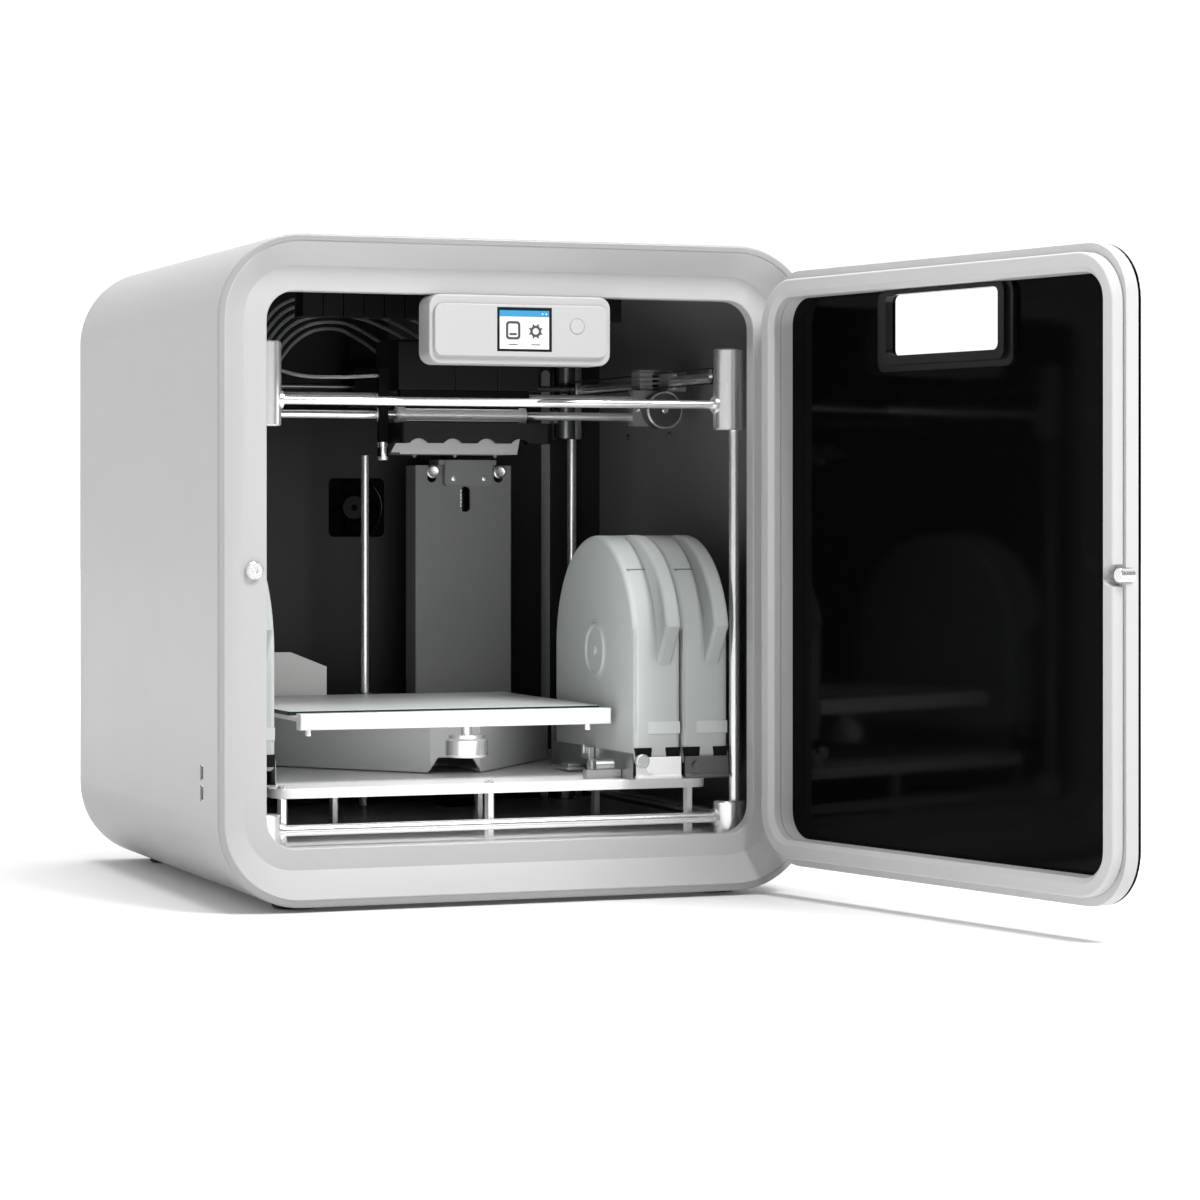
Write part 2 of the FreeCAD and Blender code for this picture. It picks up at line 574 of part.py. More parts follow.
def x_belt():
    y0, y1 = X_BELT_Y
    wheels = [(side * X_PULLEY_X, y0 + 0.2, X_PULLEY_Z) for side in (-1, 1)]
    radius = X_WHEEL_R + 0.1
    piece("x_belt", belt_loop(wheels, (0, y1 - y0 - 0.4, 0), radius + BELT_T, radius))


# ---------------------------------------------------------------- print head

def head_frame():
    low_tube = rod((HEAD_X0, GANTRY_Y, X_ROD_ZS[0]), (HEAD_X1, GANTRY_Y, X_ROD_ZS[0]), 8)
    high_tube = rod((HEAD_X0 - 1, GANTRY_Y, X_ROD_ZS[1]), (HEAD_X1 + 1, GANTRY_Y, X_ROD_ZS[1]), 5.6)
    plate = box(HEAD_X0, HEAD_X1, 226, 247, 450.2, 465.9)
    bridge = box(HEAD_X0 + 8, HEAD_X1 - 8, 234, 246, 436, 452)
    clip = box(-8, 12, 246, 249.6, 453, 462)
    bracket = box(-66, HEAD_X0 + 2, 229, 236, 452, 463).fuse(box(-66, -57, 229, 236, 402, 486))
    probe = disc(-61.5, 232.5, 399.5, 403, 2.5)
    shape = low_tube.fuse([high_tube, plate, bridge, clip, bracket, probe])
    bores = [rod((-80, GANTRY_Y, z), (120, GANTRY_Y, z), THIN_ROD_R + RUN_GAP) for z in X_ROD_ZS]
    piece("head_frame", shape.cut(bores).removeSplitter())


COVER_XS = ((-54, 2.3), (2.9, 45.2), (45.8, 87))
COVER_BACK, FEED_Z = 278.0, 500.0
FEED_XS = [(x0 + x1) / 2 + side * 8 for x0, x1 in COVER_XS for side in (-1, 1)]


def extruder_covers():
    covers = []
    for x0, x1 in COVER_XS:
        cover = box(x0, x1, 206, COVER_BACK, 466, 514)
        cover = soften(cover, 3, lambda c, e: along(e, "x") and c.z > 510)
        for x in FEED_XS:
            if x0 < x < x1:
                start, end = (x, COVER_BACK - 1.5, FEED_Z), (x, COVER_BACK + 4, FEED_Z)
                cover = cover.fuse(rod(start, end, 5)).cut(rod(start, end, TUBE_R + 0.8))
        covers.append(cover.removeSplitter())
    piece("extruder_covers", *covers)


def fan_duct():
    """The part-cooling duct under the tubes, its lower edge scalloped round the three nozzles."""
    body = box(-56, 96, 192, 262, 415, 434.6)
    body = soften(body, 5, lambda c, e: along(e, "z"))
    scallops = [rod((x, 190, 407.5), (x, 265, 407.5), 12) for x in (-38, -4, 30, 64)]
    hollow = box(-50, 90, 195, 256, 410, 424)
    piece("fan_duct", body.cut(scallops).cut(hollow))


def nozzles():
    outline = [(-65, 406), (-60, 414.7), (-49.5, 414.7), (-49.5, 421), (65, 421), (62, 406)]
    shield = prism([(x, 198, z) for x, z in outline], (0, -2, 0))
    sole = box(-56, 62, 196, 250, 404.5, 406)
    tips = []
    for x in (-30, 11, 52):
        tips.append(turned([(0, 401.7), (0.6, 401.7), (3, 404), (3, 406), (5, 406), (5, 424), (0, 424)],
                           (x, 232, 0), (0, 0, 1)))
    piece("nozzles", shield.fuse([sole] + tips).removeSplitter())


def drag_chain():
    """Cable carrier under the ceiling: a row of links on two hangers."""
    x0, pitch, count = -164.5, 19.8, 16
    links = [box(x0 + pitch * i, x0 + pitch * (i + 1) - 1, 150, 178, 531, 559) for i in range(count)]
    spine = box(x0, x0 + pitch * count - 1, 158, 170, 542, 547)
    hangers = [box(x - 8, x + 8, 160, 168, 558, LINER_TOP - LINER_T - FIT) for x in (-120, 110)]
    piece("drag_chain", spine.fuse(links + hangers).removeSplitter())


# ---------------------------------------------------------------- filament tubes

def bent_tube(points):
    """A tube through the points: straight runs joined by tangent arcs as large as the runs allow."""
    pts = [V(*p) for p in points]
    edges = []
    start = pts[0]
    for before, here, after in zip(pts, pts[1:], pts[2:]):
        a, b = (before - here), (after - here)
        cut = 0.45 * min(a.Length, b.Length)
        a.normalize()
        b.normalize()
        p, q = here + a * cut, here + b * cut
        half = a.getAngle(b) / 2
        radius = cut * math.tan(half)
        bisector = a + b
        bisector.normalize()
        middle = here + bisector * (radius / math.sin(half) - radius)
        edges += [Part.makeLine(start, p), Part.Arc(p, middle, q).toShape()]
        start = q
    edges.append(Part.makeLine(start, pts[-1]))
    path = Part.Wire(edges)
    section = Part.Wire(Part.Circle(pts[0], pts[1] - pts[0], TUBE_R).toShape())
    return path.makePipeShell([section], True, False)


def tube_routes():
    """Six tubes leave the head's back, rise and turn left, and drop to the guide on the back wall."""
    routes = []
    for i, x in enumerate(FEED_XS):
        routes.append([(x, COVER_BACK + 0.2, FEED_Z), (x, 325 + 4 * i, 502 + i),
                       (0.7 * x - 12, 385 + 3 * i, 520 + 5 * i), (0.35 * x - 38, 424 + 2 * i, 534 + 6.4 * i),
                       (-76 - 2 * i, 440, 530 + 7 * i), (-102 - 3.6 * i, 444, 505 + 7 * i),
                       (-124 - 4.6 * i, 447, 458 + 5 * i), (-128 - 5 * i, 448, TUBE_END + 1)])
    return routes


def filament_tubes():
    tubes = [bent_tube(points) for points in tube_routes()]
    low = bent_tube([(-66.4, 232.5, 480), (-105, 233, 478), (-146, 238, 480), (-178, 264, 496),
                     (-188, 318, 512), (-184, 380, 512), (-172, 432, 486), (-164, 448, 442),
                     (-162, 448, TUBE_END + 1)])
    piece("filament_tubes", *tubes, low)


# ---------------------------------------------------------------- Z drive and bed

def z_column():
    x0, x1, y0, y1 = COLUMN
    channel = box(x0, x1, y0, y1, FLOOR_TOP, COLUMN_TOP)
    channel = soften(channel, 2, lambda c, e: along(e, "z") and c.y < y0 + 0.01)
    inner = box(x0 + 3, x1 - 3, y0 + 3, y1 + 1, FLOOR_TOP - 1, COLUMN_TOP + 1)
    view_slot = slab(86.5, 97.5, 350, 376, 5, y0 - 1, y0 + 4)
    keys = [slab(x - 5, x + 5, 380, 398.5, 4.9, y0 - 1, y0 + 4) for x in (56, 128)]
    piece("z_column", channel.cut([inner, view_slot] + keys))


def z_bracket():
    x0, x1, y0, _ = COLUMN
    block = slab(67, 118, 377, 403, 3, y0 - 10, y0)
    head = box(61, 123, y0 + 3, y0 + 24, 386, 396)
    neck = box(61, 123, y0 - 8, y0 + 24, 398, 403)
    bearing = box(84, 100, y0 + 6, y0 + 24, 386, 402)
    shape = block.fuse([head, neck, bearing]).cut(disc(SCREW_X, SCREW_Y, 380, 398.5, SCREW_R + RUN_GAP))
    screws = []
    for x in (56, 128):
        screws.append(turned([(0, 0), (4.4, 0), (4.4, 5), (6.5, 5), (6.5, 8), (5.5, 9), (0, 9)],
                             (x, y0 + 5, 391), (0, -1, 0)))
    for x in (76, 109):
        screws.append(turned([(0, 0), (3, 0), (3, 1), (2.4, 1.6), (0, 1.6)], (x, y0 - 10, 384), (0, -1, 0)))
    piece("z_bracket", shape.removeSplitter(), *screws)


def lead_screw():
    shape = disc(SCREW_X, SCREW_Y, 88.4, 398, SCREW_R)
    piece("lead_screw", shape.fuse(disc(SCREW_X, SCREW_Y, 92, 104, 7.5)).removeSplitter())


def floor_plate():
    front, back, r = 75.0, 516.0, 20.0
    plate = box(-212, 212, front, back, FLOOR_LOW, FLOOR_TOP)
    plate = soften(plate, r, lambda c, e: along(e, "z") and c.y < front + 1)
    plate = soften(plate, 1.0, lambda c, e: c.z > FLOOR_TOP - 0.01 and c.y < back - 1)
    piece("floor_plate", plate.cut(disc(SCREW_X, SCREW_Y, 80, 110, 13)))


STANDOFFS = [(-203, 84), (-5, 84), (193, 84), (-102, 260), (45, 260), (167, 260),
             (-203, 480), (-5, 480), (193, 480)]


def floor_standoffs():
    posts = [disc(x, y, PAN_TOP, FLOOR_LOW, 3) for x, y in STANDOFFS]
    head = [(0, 0), (4.2, 0), (4.2, 1.4), (3.2, 2.2), (1.6, 2.2), (1.2, 1.2), (0, 1.2)]
    screws = [turned(head, (x, y, FLOOR_TOP), (0, 0, 1)) for x, y in STANDOFFS[:3]]
    piece("floor_standoffs", *posts, *screws)


def bed_glass():
    x0, x1, y0, y1 = BED
    sheet = box(x0, x1, y0, y1, GLASS_LOW, GLASS_TOP)
    piece("bed_glass", soften(sheet, 3, lambda c, e: along(e, "z")))


def bed_tray():
    tray = box(-180, 124, 112, 415, 157.6, GLASS_LOW - 0.1)
    bar = box(-180, 124, 105, 118, 150, 165)
    bar = soften(bar, 2, lambda c, e: (along(e, "z") or along(e, "x")) and c.y < 106)
    screws = [disc(x, 111, 144.5, 151, 2.5) for x in (-171, 102)]
    piece("bed_tray", tray.fuse([bar] + screws).removeSplitter())


def bed_support():
    """A folded V-shaped carrier under the tray, with two arms round the column."""
    outer = [(-137, 362), (-21, 210), (-8, 208), (13, 199), (26, 201), (154, 363), (154, 400), (-137, 400)]
    inner = [(-133, 364), (-20, 215), (-7, 213), (13, 204), (24, 206), (150, 365), (150, 397), (-133, 397)]
    tub = prism([(x, y, 100.6) for x, y in outer], (0, 0, 157.4 - 100.6))
    tub = tub.cut(prism([(x, y, 103.6) for x, y in inner], (0, 0, 60)))
    notch = [(-23.5, 100), (28.5, 100), (18.5, 115), (-13.5, 115)]
    tub = tub.cut(prism([(x, 190, z) for x, z in notch], (0, 110, 0)))
    arms = [box(32, 35.5, 397, 480, 104, 150), box(145.5, 149, 397, 480, 104, 150)]
    cross = box(32, 149, 476.5, 480, 112, 136)
    shelf = box(-36, 0, 398, 446, 140, 146)
    shape = tub.fuse(arms + [cross, shelf]).cut(disc(GUIDE_X, GUIDE_Y, 130, 150, 10.1))
    piece("bed_support", shape.removeSplitter())


def z_nut():
    block = box(83, 101, 458, 476.4, 114, 134)
    nut = block.fuse([disc(SCREW_X, SCREW_Y, 108, 138, 7.5), disc(SCREW_X, SCREW_Y, 120, 124, 11)])
    nut = nut.cut(disc(SCREW_X, SCREW_Y, 100, 140, SCREW_R + RUN_GAP)).removeSplitter()
    flange = box(GUIDE_X - 16, GUIDE_X + 16, GUIDE_Y - 11, GUIDE_Y + 11, 161, 165)
    flange = flange.fuse([disc(GUIDE_X + dx, GUIDE_Y, 161, 165, 11) for dx in (-16, 16)])
    guide = disc(GUIDE_X, GUIDE_Y, 132, 167, 10).fuse(flange)
    guide = guide.cut(disc(GUIDE_X, GUIDE_Y, 130, 170, THIN_ROD_R + RUN_GAP))
    piece("z_nut", nut, guide.removeSplitter())


def level_knob():
    profile = [(0, 119), (17.5, 119), (20, 121.5), (20, 135), (17, 137), (17, 140),
               (5, 140), (5, 157.2), (0, 157.2)]
    piece("level_knob", turned(profile, (-5, 150, 0), (0, 0, 1)))


# ---------------------------------------------------------------- cartridges

def cartridge_outline(x):
    """The arch-shaped side view in the plane at x."""
    mid_y, shoulder = (CART_Y0 + CART_Y1) / 2, CART_TOP - (CART_Y1 - CART_Y0) / 2
    arc = Part.Arc(V(x, CART_Y1, shoulder), V(x, mid_y, CART_TOP), V(x, CART_Y0, shoulder)).toShape()
    sides = [(CART_Y0, shoulder), (CART_Y0, CART_LOW), (CART_Y1, CART_LOW), (CART_Y1, shoulder)]
    corners = [V(x, y, z) for y, z in sides]
    return Part.Wire([arc] + [Part.makeLine(a, b) for a, b in zip(corners, corners[1:])])


def handle_ridge(x0, x1):
    """The grip that stands proud of the case's top and front, and tapers back into it below."""
    outer = Part.Arc(V(x0, 150, 327.2), V(x0, 66, 296), V(x0, 38, 243)).toShape()
    profile = [(38, 243), (66, 200), (80, 200), (95, 245), (120, 290), (160, 315), (150, 327.2)]
    corners = [V(x0, y, z) for y, z in profile]
    sides = [Part.makeLine(a, b) for a, b in zip(corners, corners[1:])]
    ridge = Part.Face(Part.Wire([outer] + sides)).extrude(V(x1 - x0, 0, 0))
    return soften(ridge, 4, lambda c, e: not along(e, "x") and (e.Length > 120 or c.y < 60))


def cartridge(name):
    """A filament spool case with a round hub dish on each side and a grip over its front."""
    x0, x1 = CART_XS[name]
    body = Part.Face(cartridge_outline(x0)).extrude(V(x1 - x0, 0, 0))
    body = soften(body, 5, lambda c, e: c.z > CART_LOW + 0.1 and not along(e, "x"))
    body = soften(body, 5, lambda c, e: along(e, "x") and c.z < CART_LOW + 0.1)
    dish = [(0, -1), (20, -1), (17.5, 1.6), (8, 1.6), (7, 0.8), (0, 0.8)]
    near = turned(dish, (x0, HUB_Y, HUB_Z), (1, 0, 0))
    far = turned(dish, (x1, HUB_Y, HUB_Z), (-1, 0, 0))
    body = body.cut([near, far]).fuse(handle_ridge(x0 + RIDGE[0], x0 + RIDGE[1])).removeSplitter()
    body.translate(V(0, CART_BACK[name], 0))
    piece(f"cartridge_{name}", body)


def cartridge_trays():
    trays = []
    base = FLOOR_TOP + 0.1
    for name, (x0, x1) in CART_XS.items():
        y0, y1 = CART_Y0 + 2, CART_Y1 + 8
        floor = box(x0 - 0.9, x1 + 0.9, y0, y1, base, base + 2)
        sides = [box(x0 - 0.9, x0 - 0.4, y0, y1, base, 124), box(x1 + 0.4, x1 + 0.9, y0, y1, base, 124)]
        ribs = [box(x0 + 4, x1 - 4, y, y + 8, base, CART_LOW - 0.4) for y in (y0 + 22, y1 - 48)]
        back = box(x0 - 0.9, x1 + 0.9, y1 - 2, y1, base, 140)
        tray = floor.fuse(sides + ribs + [back])
        if name == "left":
            legs = [box(x0 - 0.9, x0 + 6, y, y + 12, PAN_TOP, base + 1) for y in (y0 + 20, y1 - 40)]
            tray = tray.fuse(legs)
        tray.translate(V(0, CART_BACK[name], 0))
        trays.append(tray.cut([disc(x, y, FLOOR_TOP, FLOOR_TOP + 3, 6) for x, y in STANDOFFS[:3]]))
    roller = rod((104, 97, 112), (122, 97, 112), 5).fuse(box(94, 128.6, 92, 102, base, 108))
    piece("cartridge_trays", *[tray.removeSplitter() for tray in trays], roller.removeSplitter())


LATCH_Y, LATCH_Z = 59.0, 102.5


def cartridge_latch(name):
    """A bright flap across the tray's mouth that folds down about its lower edge."""
    x0, x1 = CART_XS[name]
    plate = box(x0 + 1, x1 - 1, LATCH_Y - 1, LATCH_Y + 1, LATCH_Z, 121)
    plate = soften(plate, 0.9, lambda c, e: along(e, "x") and c.z > 120)
    pivot = rod((x0 + 1, LATCH_Y, LATCH_Z), (x1 - 1, LATCH_Y, LATCH_Z), 2.4)
    mid = (x0 + x1) / 2 - 10
    screw = rod((mid, LATCH_Y - 5, 112), (mid, LATCH_Y, 112), 5)
    piece(f"latch_{name}", plate.fuse([pivot, screw]).removeSplitter())


def purge_bin():
    outer = [(-200, 100.2), (-200, 210), (-98, 209), (-60.6, 194), (-60.6, 100.2)]
    inner = [(-197, 103.2), (-197, 213), (-98, 213), (-63.6, 205), (-63.6, 103.2)]
    shell = prism([(x, 424, z) for x, z in outer], (0, 90, 0))
    pocket = prism([(x, 427, z) for x, z in inner], (0, 84, 0))
    piece("purge_bin", shell.cut(pocket))


# ---------------------------------------------------------------- electrics

FAN_X, FAN_Z, FAN_R = 0.0, 354.5, 29.0
INLET_HOLE = (-214, -186, REAR_Y - 1, DEPTH, 20, 42)
SWITCH_HOLE = (-178, -162, REAR_Y - 1, DEPTH, 20, 42)
SWITCH_Y, SWITCH_Z = 546.0, 31.0


def mains_inlet():
    x0, x1, _, _, z0, z1 = INLET_HOLE
    case = box(x0 + FIT, x1 - FIT, REAR_Y - 18, DEPTH - 0.4, z0 + FIT, z1 - FIT)
    mouth = box(x0 + 2.5, x1 - 2.5, REAR_Y - 12, DEPTH, z0 + 2.5, z1 - 2.5)
    blades = [box(x - 1, x + 1, REAR_Y - 13, DEPTH - 5, 28, 34) for x in (-207, -200, -193)]
    piece("mains_inlet", case.cut(mouth).fuse(blades).removeSplitter())


def power_switch():
    x0, x1, _, _, z0, z1 = SWITCH_HOLE
    side = [(REAR_Y - 2, z0 + 1.5), (DEPTH + 1.2, z0 + 1.5), (DEPTH - 1.2, SWITCH_Z),
            (DEPTH - 0.4, z1 - 1.5), (REAR_Y - 2, z1 - 1.5)]
    rocker = prism([(x0 + 1, y, z) for y, z in side], (x1 - x0 - 2, 0, 0))
    pivot = rod((x0 + 0.2, SWITCH_Y, SWITCH_Z), (x1 - 0.2, SWITCH_Y, SWITCH_Z), 1.5)
    piece("power_switch", rocker.fuse(pivot).removeSplitter())


def power_supply():
    case = box(-190, -60, 290, 500, IN_LOW + 2, 36)
    slots = [box(-180 + 12 * i, -175 + 12 * i, 320, 420, 34, 37) for i in range(9)]
    rails = [box(-196, -54, y, y + 8, IN_LOW + 0.1, IN_LOW + 2) for y in (310, 470)]
    piece("power_supply", case.cut(slots).fuse(rails).removeSplitter())


def mainboard():
    board = box(20, 190, 250, 420, 14, 15.6)
    posts = [disc(x, y, IN_LOW + 0.1, 14, 3) for x in (26, 184) for y in (256, 414)]
    blocks = [box(40, 70, 270, 300, 15.6, 24), box(90, 160, 262, 276, 15.6, 27),
              box(100, 130, 310, 340, 15.6, 18.6), box(40, 60, 360, 410, 15.6, 28),
              box(120, 170, 380, 405, 15.6, 22)]
    piece("mainboard", board.fuse(posts + blocks).removeSplitter())


def fan_rotor():
    y0, y1 = REAR_Y - 16, REAR_Y - 2
    hub = rod((FAN_X, y0, FAN_Z), (FAN_X, y1, FAN_Z), 12)
    blades = []
    for i in range(7):
        blade = prism([(FAN_X + 10, y0 + 1, FAN_Z - 5), (FAN_X + 10, y0 + 3, FAN_Z - 5),
                       (FAN_X + 10, y1 - 1, FAN_Z + 5), (FAN_X + 10, y1 - 3, FAN_Z + 5)], (FAN_R - 12, 0, 0))
        blade.rotate(V(FAN_X, 0, FAN_Z), V(0, 1, 0), 360 / 7 * i)
        blades.append(blade)
    bore = rod((FAN_X, y0 - 1, FAN_Z), (FAN_X, y1 + 1, FAN_Z), 2.08)
    piece("fan_rotor", hub.fuse(blades).cut(bore).removeSplitter())


for make in (outer_shell, front_bezel, rear_cover, chamber_liner, back_wall, base_pan, base_cover, feet,
             usb_ports, panel_housing, panel_fascia, display, power_button, door_glass, door_outer_ring,
             door_inner_ring, door_rim, door_hardware, hinge_pins, door_strike, corner_fittings, frame_rods,
             y_belts, y_drive_shaft, y_idlers, stepper_motors, gantry_blocks, x_rods, x_motor, x_belt,
             head_frame, extruder_covers, fan_duct, nozzles, drag_chain, filament_tubes, z_column, z_bracket,
             lead_screw, floor_plate, floor_standoffs, bed_glass, bed_tray, bed_support, z_nut, level_knob,
             cartridge_trays, purge_bin, mains_inlet, power_switch, power_supply, mainboard, fan_rotor):
    make()
piece("x_drive_pulley", x_wheel(1))
piece("x_idler", x_wheel(-1))
for place in CART_XS:
    cartridge(place)
for place in ("middle", "right"):
    cartridge_latch(place)
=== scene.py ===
import math

import bmesh
import bpy
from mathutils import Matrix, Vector


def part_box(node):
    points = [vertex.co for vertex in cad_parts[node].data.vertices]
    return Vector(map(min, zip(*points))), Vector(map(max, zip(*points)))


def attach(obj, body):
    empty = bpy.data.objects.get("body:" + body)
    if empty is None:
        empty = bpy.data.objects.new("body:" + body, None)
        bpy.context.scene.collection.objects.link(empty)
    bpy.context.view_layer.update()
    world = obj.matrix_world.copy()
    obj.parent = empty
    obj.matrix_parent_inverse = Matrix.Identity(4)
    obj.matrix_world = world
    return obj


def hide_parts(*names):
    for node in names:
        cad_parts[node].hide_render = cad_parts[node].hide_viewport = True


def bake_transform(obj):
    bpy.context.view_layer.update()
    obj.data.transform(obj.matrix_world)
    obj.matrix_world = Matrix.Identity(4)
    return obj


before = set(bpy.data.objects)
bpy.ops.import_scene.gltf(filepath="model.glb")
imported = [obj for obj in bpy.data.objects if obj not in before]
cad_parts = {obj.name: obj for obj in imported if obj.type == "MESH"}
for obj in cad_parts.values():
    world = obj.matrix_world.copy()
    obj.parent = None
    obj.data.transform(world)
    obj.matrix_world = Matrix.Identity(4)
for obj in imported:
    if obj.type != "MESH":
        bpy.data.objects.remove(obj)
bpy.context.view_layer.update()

# An enclosed desktop filament printer. Lengths are metres, in the row frame: X right, Y back, Z up.

CAMERA_PLACE = (-1.08596, -3.31175, 0.34969)
CAMERA_TURN = -20.876
FOCAL_LENGTH, FILM_WIDTH, FRAME_SHIFT = 107.24, 36.0, -0.070
POST_X, FRONT_POST_Y, REAR_POST_Y = 0.224, -0.213, 0.225
TUBE_RADIUS, TUBE_GUIDE_TOP = 0.0017, 0.409
SHARP_ANGLE = math.radians(35)


# ---------------------------------------------------------------- camera and light

def make_camera():
    data = bpy.data.cameras.new("camera")
    data.lens = FOCAL_LENGTH
    data.sensor_width = FILM_WIDTH
    data.shift_y = FRAME_SHIFT
    data.clip_end = 60.0
    camera = bpy.data.objects.new("camera", data)
    camera.location = CAMERA_PLACE
    camera.rotation_euler = (math.radians(90), 0, math.radians(CAMERA_TURN))
    bpy.context.scene.collection.objects.link(camera)
    bpy.context.scene.camera = camera


def area_light(name, place, target, size, power):
    data = bpy.data.lights.new(name, "AREA")
    data.shape = "RECTANGLE"
    data.size, data.size_y = size
    data.energy = power
    light = bpy.data.objects.new(name, data)
    light.location = place
    light.rotation_euler = (Vector(target) - Vector(place)).to_track_quat("-Z", "Y").to_euler()
    bpy.context.scene.collection.objects.link(light)


def make_world():
    """White behind the object, and dim on the side the object faces."""
    world = bpy.data.worlds.new("studio")
    world.use_nodes = True
    tree = world.node_tree
    coords = tree.nodes.new("ShaderNodeTexCoord")
    split = tree.nodes.new("ShaderNodeSeparateXYZ")
    behind = tree.nodes.new("ShaderNodeMapRange")
    behind.interpolation_type = "SMOOTHSTEP"
    behind.inputs["From Min"].default_value = -0.30
    behind.inputs["From Max"].default_value = 0.25
    behind.inputs["To Min"].default_value = 0.05
    behind.inputs["To Max"].default_value = 1.08
    tree.links.new(coords.outputs["Generated"], split.inputs["Vector"])
    tree.links.new(split.outputs["Y"], behind.inputs["Value"])
    tree.links.new(behind.outputs["Result"], tree.nodes["Background"].inputs["Strength"])
    tree.nodes["Background"].inputs["Color"].default_value = (1, 1, 1, 1)
    bpy.context.scene.world = world


def make_lights():
    """A key high on the right, a soft top light, and a dim panel in the doorway that fills the chamber."""
    area_light("key", (0.9, -2.3, 2.9), (0, 0, 0.3), (1.2, 1.2), 118)
    area_light("top", (-0.3, -0.1, 3.2), (0, 0, 0.3), (1.6, 1.6), 60)
    area_light("chamber_fill", (-0.012, -0.245, 0.30), (-0.085, 0.20, 0.24), (0.28, 0.34), 0.38)
    bpy.context.scene.view_settings.view_transform = "Standard"


# ---------------------------------------------------------------- materials

def principled(name):
    material = bpy.data.materials.new(name)
    material.use_nodes = True
    tree = material.node_tree
    return material, tree, tree.nodes["Principled BSDF"]


def noise(tree, scale, detail=3.0, stretch=(1, 1, 1)):
    """A noise field in the object's own coordinates; stretch draws it out along an axis."""
    coords = tree.nodes.new("ShaderNodeTexCoord")
    mapping = tree.nodes.new("ShaderNodeMapping")
    mapping.inputs["Scale"].default_value = stretch
    field = tree.nodes.new("ShaderNodeTexNoise")
    field.inputs["Scale"].default_value = scale
    field.inputs["Detail"].default_value = detail
    tree.links.new(coords.outputs["Object"], mapping.inputs["Vector"])
    tree.links.new(mapping.outputs["Vector"], field.inputs["Vector"])
    return field.outputs["Fac"]


def ramp(tree, value, low, high, start=0.0, end=1.0):
    """Maps a field that runs from start to end onto low..high."""
    node = tree.nodes.new("ShaderNodeMapRange")
    node.inputs["From Min"].default_value = start
    node.inputs["From Max"].default_value = end
    node.inputs["To Min"].default_value = low
    node.inputs["To Max"].default_value = high
    tree.links.new(value, node.inputs["Value"])
    return node.outputs["Result"]


def tint(tree, value, first, second):
    """Blends two colours by a field."""
    node = tree.nodes.new("ShaderNodeMix")
    node.data_type = "RGBA"
    node.inputs["A"].default_value = (*first, 1)
    node.inputs["B"].default_value = (*second, 1)
    tree.links.new(value, node.inputs["Factor"])
    return node.outputs["Result"]


def bump(tree, shader, height, strength, distance):
    node = tree.nodes.new("ShaderNodeBump")
    node.inputs["Strength"].default_value = strength
    node.inputs["Distance"].default_value = distance
    tree.links.new(height, node.inputs["Height"])
    tree.links.new(node.outputs["Normal"], shader.inputs["Normal"])


def moulded(name, color, rough=0.45, grain=900.0, relief=0.12, coat=0.0, specular=0.5, spread=0.03):
    """Moulded or painted surface: a fine grain, slightly uneven gloss and a faint change of shade."""
    material, tree, shader = principled(name)
    broad = noise(tree, 14.0)
    fine = noise(tree, grain, 2.0)
    darker = tuple(c * (1 - spread) for c in color)
    tree.links.new(tint(tree, broad, darker, color), shader.inputs["Base Color"])
    tree.links.new(ramp(tree, broad, rough - 0.04, rough + 0.04), shader.inputs["Roughness"])
    shader.inputs["Specular IOR Level"].default_value = specular
    shader.inputs["Coat Weight"].default_value = coat
    shader.inputs["Coat Roughness"].default_value = 0.08
    if relief:
        bump(tree, shader, fine, relief, 0.0001)
    return material


def metal(name, color, rough, stretch=(1, 1, 1), scale=260.0, relief=0.1, spread=0.08, metallic=1.0,
          uneven=0.2):
    """Bare metal with machining or brushing marks drawn out along the axis that stretch shortens."""
    material, tree, shader = principled(name)
    lines = noise(tree, scale, 4.0, stretch)
    darker = tuple(c * (1 - spread) for c in color)
    tree.links.new(tint(tree, lines, darker, color), shader.inputs["Base Color"])
    gloss = ramp(tree, lines, rough * (1 - uneven), rough * (1 + uneven))
    tree.links.new(gloss, shader.inputs["Roughness"])
    shader.inputs["Metallic"].default_value = metallic
    if relief:
        bump(tree, shader, lines, relief, 0.00005)
    return material


def clear_plastic(name, color, rough, clearness):
    """Milky translucent plastic."""
    material, tree, shader = principled(name)
    smear = noise(tree, 9.0)
    tree.links.new(ramp(tree, smear, rough, rough + 0.05), shader.inputs["Roughness"])
    tree.links.new(tint(tree, smear, tuple(c * 0.95 for c in color), color), shader.inputs["Base Color"])
    shader.inputs["Transmission Weight"].default_value = clearness
    shader.inputs["IOR"].default_value = 1.40
    return material


